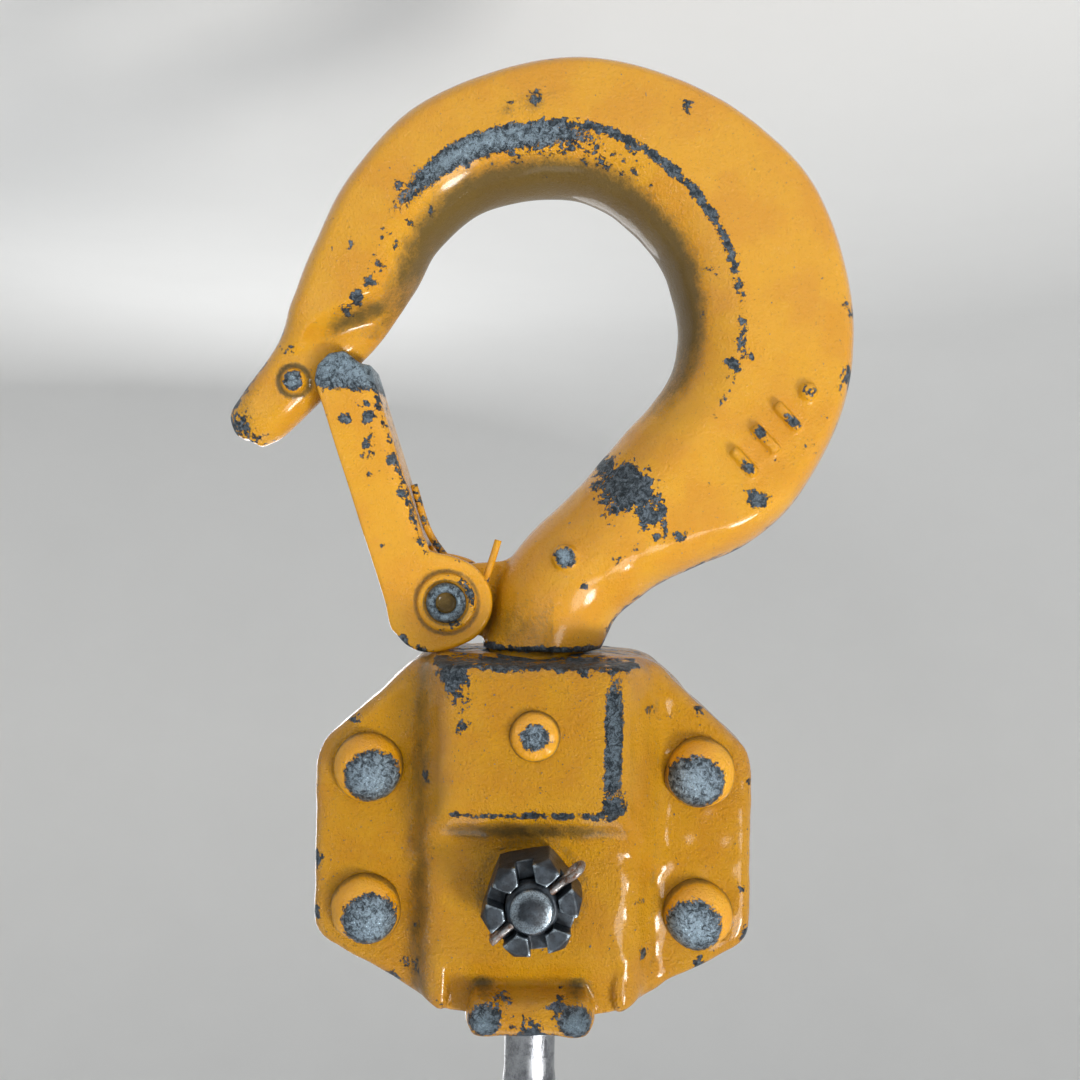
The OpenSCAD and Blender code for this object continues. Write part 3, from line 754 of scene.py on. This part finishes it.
SHELL_OUTLINE = [
    (-13.6, -26.5), (13.6, -26.5), (26.2, -15.5), (26.2, 7.3),
    (8.0, 16.5), (-8.0, 16.5), (-26.2, 7.3), (-26.2, -15.5),
]
LINK_BOW_R = 9.9
LINK_2_CENTRE_Z = 18.2
FLANGE_T, CHAIN_H, SWIVEL_H = 6.0, 10.0, 13.5
RIVET_X, RIVET_HIGH_Z, RIVET_LOW_Z, RIVET_HOLE_R = 19.8, 3.7, -13.2, 2.6
PLUG_Z, PLUG_HOLE_R, PIN_HOLE_R = -18.5, 2.05, 3.76
BORE_R, CHAMBER_R, SLOT_GAP, SLOT_H = 6.2, 9, 1, 3.6
# The upper link's slot flares upwards, so that the block can swing 8 degrees each way on the chain pin
SLOT_HALF_W, SLOT_FLARE = 3.40, math.tan(math.radians(8))


def shell_field(g):
    """Half shell on the +h side, where h is the height above the parting face."""
    x, z, h = g.x, g.z, g.y
    ax = np.abs(x)
    outline = convex_field(x, z, SHELL_OUTLINE, 2.2)
    flange = rounded(outline, h - FLANGE_T, 1.5)

    side = (ax - 14.5) * 0.86 + (h - FLANGE_T) * 0.51
    swivel = smooth_max(side, h - SWIVEL_H, 1.6)
    slope = (z + 6.1) * 0.717 + (h - CHAIN_H) * 0.697
    swivel = smooth_max(swivel, slope, 1.4)
    swivel = smooth_max(swivel, outline + 0.1, 1.6)
    low_side = (ax - 14.3) * 0.84 + (h - FLANGE_T) * 0.54
    bulge = smooth_max(low_side, h - CHAIN_H, 1.8)
    bulge = smooth_max(bulge, slab(z, -20, 15.4), 1.8)
    bulge = smooth_max(bulge, outline + 0.3, 1.8)

    # hollow between the nut and the lip, and the lip with its two knobs
    scoop = length((z - 12.6) * 0.95, h - 13.4) - 4.7
    scoop = np.maximum(scoop, ax - 9.5)
    bulge = smooth_max(bulge, -scoop, 1.4)
    lip = smooth_max(length((z - 14.1) / 1.1, h - 10.6) - 2.0, ax - 6.6, 0.8)
    for side_x in (-1, 1):
        knob = length((x - side_x * 5.15) / 1.05, z - 14.1, (h - 10.5) * 0.9) - 2.25
        lip = smooth_min(lip, knob, 0.7)
    root = rounded(np.maximum(ax - 6.3, slab(z, 11.6, 16.4)), h - 10.4, 0.9)
    lip = smooth_min(lip, root, 1.0)

    field = smooth_min(flange, swivel, 1.8)
    field = smooth_min(field, bulge, 1.6)
    field = smooth_min(field, lip, 0.9)
    return field + (0.05 * ripple(x, h, z, 5.5, 11) + 0.05 * ripple(x, h, z, 1.7, 12))


def cut_shell(g, field):
    """Cuts the parting face, the bore, the swivel chamber, the chain slots and the holes."""
    x, z, h = g.x, g.z, g.y
    ax, radius = np.abs(x), length(g.x, g.y)
    bore = np.maximum(radius - BORE_R, slab(z, -30, -21))
    chamber = np.maximum(radius - CHAMBER_R, slab(z, -21.5, -13.4))
    flare = np.maximum(ax - (LINK_BOW_R + SLOT_GAP + 0.195 * np.maximum(z, 0)), -z)
    slot = np.maximum(np.minimum(flare, length(x, z) - LINK_BOW_R - SLOT_GAP), h - SLOT_H)
    eye = length(h, z - LINK_2_CENTRE_Z) - LINK_BOW_R - 0.85
    eye = np.maximum(eye, ax - SLOT_HALF_W - SLOT_FLARE * z)
    for cut in (bore, chamber):
        field = np.maximum(field, -cut)
    for cut in (slot, eye):
        field = smooth_max(field, -cut, 0.6)
    pin = length(x, z) - PIN_HOLE_R
    plug = np.maximum(length(x, z - PLUG_Z) - PLUG_HOLE_R, 8 - h)
    rivets = [length(ax - RIVET_X, z - rz) - RIVET_HOLE_R for rz in (RIVET_LOW_Z, RIVET_HIGH_Z)]
    for cut in (pin, plug, *rivets):
        field = np.maximum(field, -cut)
    return smooth_max(field, -h, 0.35)


# Places on the shells where the enamel is chipped or worn: x, z, radius, strength
SHELL_CHIPS = [
    (9.2, -25.2, 2.0, 1.15), (8.4, -22.8, 1.4, 0.8), (-5.3, -26.2, 1.6, 0.7), (-8.8, -14.0, 1.5, 0.8),
    (12.6, -13.0, 1.1, 0.7), (13.6, 5.0, 1.2, 0.6), (14.3, 10.0, 1.5, 0.8), (-13.2, 8.0, 1.0, 0.8),
    (-12.8, 1.5, 1.0, 0.55), (26.0, -2.0, 1.3, 0.7), (25.8, 4.6, 1.3, 0.6), (-25.8, 6.0, 1.2, 0.6),
    (-26.0, -12.0, 1.2, 0.6), (-0.2, -11.2, 3.0, 0.35), (-8.8, 6.4, 0.8, 0.7), (16.5, 12.0, 1.3, 0.8),
    (3.4, 12.6, 1.5, 0.8), (-3.4, 12.6, 1.5, 0.8), (0.0, 16.2, 3.2, 0.75), (-8.9, -10.6, 1.9, 1.0),
    (12.6, -22.6, 1.0, 0.6), (-13.4, -20.6, 1.0, 0.6), (21.8, -18.6, 1.1, 0.65), (-19.6, -20.6, 1.1, 0.6),
    (-24.8, 0.4, 1.0, 0.6), (7.0, 2.4, 0.9, 0.5), (-20.4, 9.4, 1.2, 0.65), (11.6, -3.6, 0.8, 0.55),
]
SHELL_WORN = [(5.15, 14.1, 1.9, 1.15), (-5.15, 14.1, 1.9, 1.15)]


def shell_wear(points):
    x, y, z = points.T
    ax, h = np.abs(x), np.abs(y)
    strip = np.exp(-((x + 8.9) / 1.25) ** 4) * np.exp(-((z + 18.0) / 7.6) ** 4)
    foot = 0.80 * np.exp(-((z + 26.3) / 0.6) ** 2) * (ax < 12)
    crease = 0.74 * np.exp(-((z + 9.4) / 0.7) ** 2) * (ax < 9.5)
    trail = 0.60 * np.exp(-((x - 8.2) / 1.1) ** 2) * np.exp(-((z + 19.0) / 5.5) ** 2)
    on_front = np.where(y < 0, 1.0, 0.75)
    chip = np.maximum.reduce([0.42 * strip, foot, crease, trail, spots(points, SHELL_CHIPS)]) * on_front
    rim = 0.52 * (h < 4.5) * np.exp(-((h - 2.5) / 2.5) ** 2)
    chip = np.maximum(chip, rim)
    worn = spots(points, SHELL_WORN) * (h > 9.3) + 0.74 * strip * (h > 12.2)
    ledge = 0.84 * np.exp(-((z + 7.2) / 1.5) ** 2) * np.exp(-(ax / 11.5) ** 4)
    # darker in the hollow before the lip: painted shade with grime
    scoop = 0.75 * np.exp(-((z - 11.2) / 1.3) ** 2) * np.exp(-((ax - 5.2) / 1.9) ** 2)
    # darker along the swivel bulge's +x slope: painted shade; plus a thin darker line along its -x foot
    gutter = 0.68 * np.exp(-((x - 13.2) / 1.9) ** 2) + 0.35 * np.exp(-((x + 14.4) / 0.8) ** 2)
    # dark ring on the shell around the nut's foot: painted shade
    around_nut = 0.55 * np.exp(-((np.hypot(x, z) - 6.0) / 1.2) ** 2)
    top = 0.35 * np.exp(-((z + 25) / 3.5) ** 2)
    dirt = np.maximum.reduce([ledge, scoop, gutter, around_nut, top])
    return {"chip": chip, "worn": worn, "dirt": dirt}


def make_shells():
    low, high = node_box("rear_shell")
    g = Grid([low[0] - 1, -0.8, low[2] - 1], high + 1, 0.32)
    field = cut_shell(g, shell_field(g))
    for name, side in (("rear_shell", 1), ("front_shell", -1)):
        mirror = np.array([1, side, 1])
        field_piece(
            name + "_forging", g, field, "yoke", YOKE_PAINT, [name],
            lambda p: shell_wear(p * mirror), place=lambda p: p * mirror,
        )


# ---------------------------------------------------------------- fasteners

def rivet_head(r, h, rings=14):
    """Half profile of a hammered round head standing from y = 0 to h."""
    profile = []
    for k in range(rings + 1):
        a = math.pi / 2 * k / rings
        profile.append((r * math.cos(a) ** 0.82, h * math.sin(a)))
    profile[-1] = (0, h)
    return profile


RIVET_HEAD_R = 4.2


def make_rivets():
    for k, (name, x, z) in enumerate((
        ("rivet_upper_left", -RIVET_X, RIVET_HIGH_Z), ("rivet_upper_right", RIVET_X, RIVET_HIGH_Z),
        ("rivet_lower_left", -RIVET_X, RIVET_LOW_Z), ("rivet_lower_right", RIVET_X, RIVET_LOW_Z),
    )):
        head = [(r, y + FLANGE_T) for r, y in rivet_head(RIVET_HEAD_R, 2.8)]
        shank = [(2.5, -5.9), (2.5, 5.9)]
        points, faces = lathe([(r, -y) for r, y in head[::-1]] + shank + head)
        uneven = ripple(points[:, 0] + 30 * k, points[:, 1], points[:, 2], 2.4, 20 + k)
        outer = np.abs(points[:, 1]) > 5.95
        points[outer] *= 1 + 0.020 * uneven[outer, None] * np.array([1, 0.35, 1])
        r = np.hypot(points[:, 0], points[:, 2])
        lean = 0.25 * (points[:, 0] * (-1) ** k + points[:, 2]) / 4
        crown = np.exp(-(r / 3.4) ** 4) + 1.8 * lean * (r < 4.0)
        # dark ring at the head's foot: painted shade
        ring = 0.85 * np.exp(-((r - RIVET_HEAD_R) / 0.35) ** 2)
        masks = {"chip": 0.75 * crown, "worn": 0.85 * crown, "dirt": ring}
        points += np.array([x, 0, z])
        finish_piece(name + "_domed", points, faces, "yoke", RIVET_PAINT, [name], masks)


def make_plugs():
    profile = [
        (0, 9.4), (2.0, 9.4), (2.0, 13.3), (2.95, 13.35), (2.8, 13.85),
        (2.55, 14.27), (2.2, 14.5), (1.2, 14.58), (0, 14.6),
    ]
    for name, side in (("front_plug_pin", -1), ("rear_plug_pin", 1)):
        points, faces = lathe(profile, 48)
        points = points * np.array([1, side, 1])
        uneven = ripple(points[:, 0], points[:, 1] * side, points[:, 2], 1.2, 33)
        points[:, 1] += np.where(np.abs(points[:, 1]) > 13.3, 0.07 * uneven, 0)
        r = np.hypot(points[:, 0], points[:, 2])
        crown = np.exp(-(r / 1.9) ** 4)
        # dark ring at the stub's foot: painted shade
        ring = 0.9 * np.exp(-((r - 2.9) / 0.35) ** 2)
        masks = {"chip": 0.7 * crown, "worn": 0.7 * crown, "dirt": ring}
        points += np.array([0, 0, PLUG_Z])
        finish_piece(name + "_stub", points, faces, "yoke", RIVET_PAINT, [name], masks)


COTTER_TURN, COTTER_Y = -41, -15.7
NUT_HALF_FLATS, NUT_BODY_H, NUT_THREAD_R = 5.0, 7.0, 3.04
NUT_SLOT_HALF_W, NUT_SLOT_FLOOR = 0.95, 4.75
PIN_FRONT_Y = -17.58


def make_nut():
    step = 0.12
    g = Grid([-6.6, -17.6, -6.6], [6.6, -9.4, 6.6], step)
    out = -10 - g.y
    hexagon = -np.inf
    for k in range(3):
        a = math.radians(60 * k)
        hexagon = np.maximum(hexagon, np.abs(g.x * math.cos(a) + g.z * math.sin(a)) - NUT_HALF_FLATS)
    radius = length(g.x, g.z)
    field = rounded(hexagon, slab(out, 0.04, NUT_BODY_H), 0.15)
    field = smooth_max(field, (radius - 4.95) * 0.82 + (out - NUT_BODY_H) * 0.57, 0.12)
    field = smooth_max(field, (radius - 5.25) * 0.62 - out * 0.78, 0.25)
    for k in range(3):
        a = math.radians(60 * k)
        across = np.abs(g.x * math.sin(a) - g.z * math.cos(a)) - NUT_SLOT_HALF_W
        cut = np.maximum(across, NUT_SLOT_FLOOR - out)
        field = smooth_max(field, -cut, 0.12)
    field = np.maximum(field, NUT_THREAD_R - radius)
    field = field + 0.025 * ripple(g.x, g.y, g.z, 1.4, 41)
    field_piece(
        "slotted_nut_turned", g, field, "yoke", BLACK, ["slotted_nut"], edge_mm=0.35,
        place=lambda p: turn_y(p, COTTER_TURN),
    )


def make_chain_pin():
    front = PIN_FRONT_Y
    profile = [(0, front), (2.1, front), (2.4, front + 0.22), (2.4, front + 0.85), (2.6, front + 1.0)]
    y, pitch = front + 1.0, 1.0
    while y < -10.6:
        profile += [(2.62, y), (2.96, y + 0.38), (2.96, y + 0.5), (2.62, y + 0.9)]
        y += pitch
    profile += [(2.9, -9.95), (3.65, -9.8), (3.69, 9.9), (5.5, 10.02), (5.58, 10.3)]
    profile += [(5.58, 12.2), (5.3, 12.75), (4.5, 13.2), (2.5, 13.36), (0, 13.4)]
    points, faces = lathe(profile, 72)
    r = np.hypot(points[:, 0], points[:, 2])
    on_end, on_head = points[:, 1] < -17.2, points[:, 1] > 11.5
    edge = np.exp(-((r - 2.25) / 0.3) ** 2) * on_end + np.exp(-((r - 5.3) / 0.5) ** 2) * on_head
    finish_piece(
        "chain_pin_turned", points, faces, "yoke", BLACK, ["chain_pin"], {"edge": edge},
    )


def make_cotter():
    """Split pin: two half-round legs side by side, a loop at one end, and the other end bent over."""
    loop = [
        (-4.6, 0.36, 0), (-5.2, 0.75, 0), (-6.0, 1.20, 0), (-6.8, 1.05, 0), (-7.25, 0.2, 0),
        (-6.9, -0.95, 0), (-6.1, -1.20, 0), (-5.3, -0.8, 0), (-4.6, -0.36, 0),
    ]
    upper = [(4.6, 0.36, 0), (2.0, 0.36, 0), (-2.0, 0.36, 0)]
    lower = [(-2.0, -0.36, 0), (2.0, -0.36, 0), (4.6, -0.36, 0)]
    bend_out = [(5.5, 0.75, 0.1), (5.75, 1.5, 0.1), (5.75, 2.2, 0.1)]
    bend_in = [(5.3, -0.5, 0), (5.75, -0.7, -0.1)]
    path = spline(bend_out[::-1] + upper + loop + lower + bend_in, 6)
    points, faces = tube(path, 0.42, 12)
    points = turn_y(points + np.array([0, COTTER_Y, 0]), COTTER_TURN)
    finish_piece("cotter_pin_split", points, faces, "yoke", RUSTY, ["cotter_pin"])


# ---------------------------------------------------------------- latch

LATCH_LEAN = 18.0
CHEEK_IN, CHEEK_OUT = 3.5, 4.9
LATCH_HOLE_R, WEB_IN_X, WEB_OUT_X = 2.16, 0.5, 1.9


def latch_place(points):
    return turn_y(points, -LATCH_LEAN) + np.array([PIVOT_X, 0, PIVOT_Z])


# Chipped places on the latch's cheeks: x, z, radius, strength
LATCH_CHIPS = [
    (5.2, -24.8, 1.0, 1.1), (2.6, -24.2, 1.0, 1.1), (3.6, -21.2, 0.9, 1.0), (1.4, -18.4, 0.9, 1.0),
    (1.6, -14.2, 0.9, 0.8), (1.0, -11.2, 0.8, 0.7), (5.4, -9.0, 0.7, 0.6), (6.8, 3.0, 1.3, 0.9),
    (4.3, 4.6, 1.0, 0.7), (4.4, -17.4, 0.6, 0.7), (2.2, -25.8, 0.8, 0.8),
]


def latch_wear(points):
    x, y, z = points.T
    end = 1 / (1 + np.exp((z + 28.2 - 0.35 * (4 - x)) * 1.5))
    scatter = 0.34 * np.exp(-((z + 21) / 8) ** 2) * (x < 5)
    bend = 0.58 * np.exp(-((x - 0.9) / 0.6) ** 2) * (z < -6)
    cheek = np.abs(y) > CHEEK_IN
    chip = np.maximum.reduce([0.8 * end, spots(points, LATCH_CHIPS) * cheek, scatter * cheek, bend])
    worn = np.maximum(0.95 * end, 0.35 * bend)
    # dark ring just outside the washer, and darker inside the channel between the cheeks: painted shade
    ring = 0.8 * np.exp(-((np.hypot(x, z) - 3.8) / 0.4) ** 2)
    dirt = np.maximum(ring, 0.35 * (np.abs(y) < CHEEK_IN))
    return {"chip": chip, "worn": worn, "dirt": dirt}


def make_latch():
    g = Grid([-6.6, -6, -34.2], [9, 6, 6.8], 0.21)
    x, y, z = g.x, np.abs(g.y), g.z
    arm = polygon_field(x, z, [
        (7.1, 1), (7.5, -30.4), (6.6, -32.0), (4.9, -32.95), (3.0, -32.7),
        (WEB_IN_X, -29.0), (WEB_IN_X, -6.6), (-1.0, -4.6), (-2, 0),
    ])
    outline = smooth_min(arm, length(x, z) - 5.45, 2.2)
    outline = smooth_min(outline, length(x - 2.6, z - 1.0) - 4.4, 1.2)
    cheeks = rounded(outline, np.abs(y - (CHEEK_IN + CHEEK_OUT) / 2) - 0.7, 0.4)
    web = np.maximum(slab(x, WEB_IN_X, WEB_OUT_X), np.maximum(y - 4.2, slab(z, -30.4, -7.2)))
    field = smooth_min(cheeks, web, 0.7)
    bend = smooth_max(WEB_IN_X - x, y - CHEEK_OUT, 2.4) - np.maximum(z + 8.5, 0)
    field = smooth_max(field, bend, 0.3)
    field = smooth_max(field, LATCH_HOLE_R - length(x, z), 0.3)
    field = field + 0.035 * ripple(g.x, g.y, g.z, 4, 61)
    field_piece(
        "latch_pressing", g, field, "latch", LATCH_PAINT, ["latch"],
        latch_wear, 0.6, latch_place,
    )


def make_latch_pin():
    """Hollow pin with swaged ends, and the washer under each end."""
    end = [
        (0, 5.2), (0.7, 5.1), (1.15, 5.15), (1.25, 5.5), (1.25, 6.25),
        (1.5, 6.42), (1.9, 6.42), (2.3, 6.15), (2.42, 5.85), (2.1, 5.75),
    ]
    profile = [(r, -y) for r, y in end] + end[::-1]
    points, faces = lathe(profile, 48)
    r = np.hypot(points[:, 0], points[:, 2])
    on_end = np.abs(points[:, 1]) > 5.8
    swage = on_end * (r > 1.2)
    # darker in the pin's hollow end: painted shade
    masks = {"chip": 0.9 * swage, "worn": 0.75 * swage, "dirt": 1.0 * (r < 1.4)}
    points += np.array([PIVOT_X, 0, PIVOT_Z])
    finish_piece(
        "latch_pin_swaged", points, faces, "hook", RIVET_PAINT, ["latch_pin"], masks,
    )
    ring = [
        (LATCH_PIN_R, 4.98), (3.35, 4.96), (3.5, 5.1), (3.48, 5.5), (3.3, 5.68),
        (2.9, 5.7), (2.7, 5.6), (LATCH_PIN_R, 5.6), (LATCH_PIN_R, 4.98),
    ]
    for name, side in (("front_latch_washer", -1), ("rear_latch_washer", 1)):
        points, faces = lathe(ring, 56)
        points = points * np.array([1, side, 1])
        r = np.hypot(points[:, 0], points[:, 2])
        lean = 0.5 + 0.5 * ripple(points[:, 0], points[:, 1], points[:, 2], 2.0, 67)
        # dark ring at the washer's inner edge, against the pin: painted shade
        masks = {"chip": 0.55 * lean * (r > 2.6), "dirt": 0.95 * np.exp(-((r - 2.5) / 0.4) ** 2)}
        points += np.array([PIVOT_X, 0, PIVOT_Z])
        finish_piece(name + "_ring", points, faces, "hook", RIVET_PAINT, [name], masks)


SPRING_R, SPRING_WIRE, SPRING_LENGTH = 2.75, 0.45, 1.65


def make_spring():
    """The turns and the shank leg stay with the hook; the latch leg moves with the latch."""
    low_y = -CHEEK_IN + SPRING_WIRE + 0.1
    high_y = low_y + SPRING_LENGTH
    start, sweep = math.radians(142), math.radians(720 - 142 + 180 + LATCH_LEAN)
    turns = []
    for k in range(121):
        a = start + sweep * k / 120
        turns.append((SPRING_R * math.cos(a), low_y + SPRING_LENGTH * k / 120, SPRING_R * math.sin(a)))
    leg = [(-6.0, low_y, -7.6), (-5.4, low_y, -5.5), (-4.6, low_y, -3.0), (-3.6, low_y, -0.6)]
    path = np.concatenate([spline(leg, 6)[:-1], np.array(turns)[2:]])
    points, faces = tube(path, SPRING_WIRE, 14)
    spot = np.array([PIVOT_X, 0, PIVOT_Z])
    masks = {"chip": 0.5 * (points[:, 2] > -3), "dirt": 0.5 * (points[:, 2] > -3)}
    finish_piece(
        "spring_turns", points + spot, faces, "hook", RIVET_PAINT, ["latch_spring"], masks,
    )
    web_x = WEB_IN_X - SPRING_WIRE - 0.06
    leg = [
        (-SPRING_R, high_y, 0), (-2.3, high_y, -3.0), (-0.9, high_y, -6.0),
        (web_x, high_y, -9.5), (web_x, high_y, -15),
    ]
    points, faces = tube(spline(leg, 8), SPRING_WIRE, 14)
    half = np.full(len(points), 0.5)
    finish_piece(
        "spring_latch_leg", latch_place(points), faces, "latch", RIVET_PAINT,
        masks={"chip": half, "dirt": half},
    )


# ---------------------------------------------------------------- chain

def make_link(name, node, body, floor, along_y):
    """Round-wire link with a weld swelling on one long side."""
    wire_r, bow, straight = 3.0, 6.9, 10.2
    path = []
    for k in range(41):
        a = math.pi + math.pi * k / 40
        path.append((bow * math.cos(a), 0, bow * math.sin(a)))
    path += [(bow, 0, straight * k / 24) for k in range(1, 24)]
    for k in range(41):
        a = math.pi * k / 40
        path.append((bow * math.cos(a), 0, straight + bow * math.sin(a)))
    path += [(-bow, 0, straight * (1 - k / 24)) for k in range(1, 24)]
    path = np.array(path)
    weld = 0.16 * np.exp(-((path[:, 2] - straight / 2) / 0.9) ** 2) * (path[:, 0] < -6.8)
    path[:, 0] += weld
    points, faces = tube(path, wire_r - 0.02 + weld, 36, closed=True)
    points[:, 2] += 3.9 + floor
    if along_y:
        points = points @ np.array(Matrix.Rotation(math.radians(90), 3, "Z")).T
    finish_piece(name, points, faces, body, CHAIN, [node])


def make_chain():
    low_1, _ = node_box("chain_link_1")
    low_2, _ = node_box("chain_link_2")
    make_link("lower_link_welded", "chain_link_1", "lower_link", low_1[2] + 6.0, False)
    make_link("upper_link_welded", "chain_link_2", "upper_link", low_2[2] + 6.0, True)


# ---------------------------------------------------------------- stage, light and camera

def make_camera():
    data = bpy.data.cameras.new("camera")
    data.lens, data.sensor_width = 36, 36
    data.clip_start, data.clip_end = 0.005, 20
    camera = bpy.data.objects.new("camera", data)
    spot = Vector((-0.2, -135.0, -40.6 - PIN_DEPTH)) * MM
    camera.matrix_world = (
        Matrix.Translation(spot) @ Matrix.Rotation(math.radians(90), 4, "X")
        @ Matrix.Rotation(math.radians(180 + 1.0), 4, "Z")
    )
    bpy.context.scene.collection.objects.link(camera)
    bpy.context.scene.camera = camera


def make_light(name, place, size, watts, colour=(1, 1, 1), aim=(0, 0, -70)):
    data = bpy.data.lights.new(name, "AREA")
    data.shape, data.size, data.energy, data.color = "DISK", size * MM, watts, colour
    light = bpy.data.objects.new(name, data)
    start, end = Vector(place) * MM, Vector(aim) * MM
    light.location = start
    light.rotation_euler = (end - start).to_track_quat("-Z", "Y").to_euler()
    bpy.context.scene.collection.objects.link(light)


def make_stage():
    """Pale floor under the hook that curves up all round into a wall."""
    floor_z = cad_low.z / MM - 42
    radius, corner, top = 620.0, 240.0, 900.0
    profile = [(0, 0), (radius - corner, 0)]
    for k in range(1, 17):
        a = math.pi / 2 * k / 16
        profile.append((radius - corner + corner * math.sin(a), corner * (1 - math.cos(a))))
    profile.append((radius, top))
    points, faces = lathe(profile, 96)
    points = points[:, [0, 2, 1]] + np.array([0, 0, floor_z])
    mesh = bpy.data.meshes.new("floor")
    mesh.from_pydata((points * MM).tolist(), [], faces)
    mesh.shade_smooth()
    floor = bpy.data.objects.new("floor", mesh)
    bpy.context.scene.collection.objects.link(floor)
    s = Shader("floor_paper")
    cloud = s.noise(0.02, 3)
    s.bump(s.noise(1.2, 4), 0.05, 0.2)
    paper = s.mix(cloud, (0.80, 0.80, 0.79), (0.84, 0.84, 0.83))
    mesh.materials.append(s.set(Base_Color=paper, Roughness=0.85))


def make_world():
    world = bpy.data.worlds.new("studio")
    world.use_nodes = True
    back = world.node_tree.nodes["Background"]
    back.inputs[0].default_value = (0.86, 0.92, 1.0, 1)
    back.inputs[1].default_value = 0.36
    bpy.context.scene.world = world
    bpy.context.scene.view_settings.view_transform = "Standard"


make_camera()
make_world()
make_stage()
make_light("key", (-230, -250, 150), 90, 1.0, (1.0, 0.97, 0.93), (0, 0, -60))
make_light("sheen", (-180, -350, 120), 140, 0.42, (1.0, 0.98, 0.96), (-10, 0, -50))
make_light("fill", (230, -330, -160), 300, 0.16, (0.90, 0.95, 1.0))
make_light("top", (0, -40, 420), 260, 0.30)
make_light("back", (150, 390, 60), 260, 0.55)

make_hook()
make_shells()
make_rivets()
make_plugs()
make_nut()
make_chain_pin()
make_cotter()
make_latch()
make_latch_pin()
make_spring()
make_chain()

for node in ("thrust_washer", "front_collar_half", "rear_collar_half"):
    piece = frame["nodes"][node]
    piece.data.materials.clear()
    piece.data.materials.append(PLAIN)
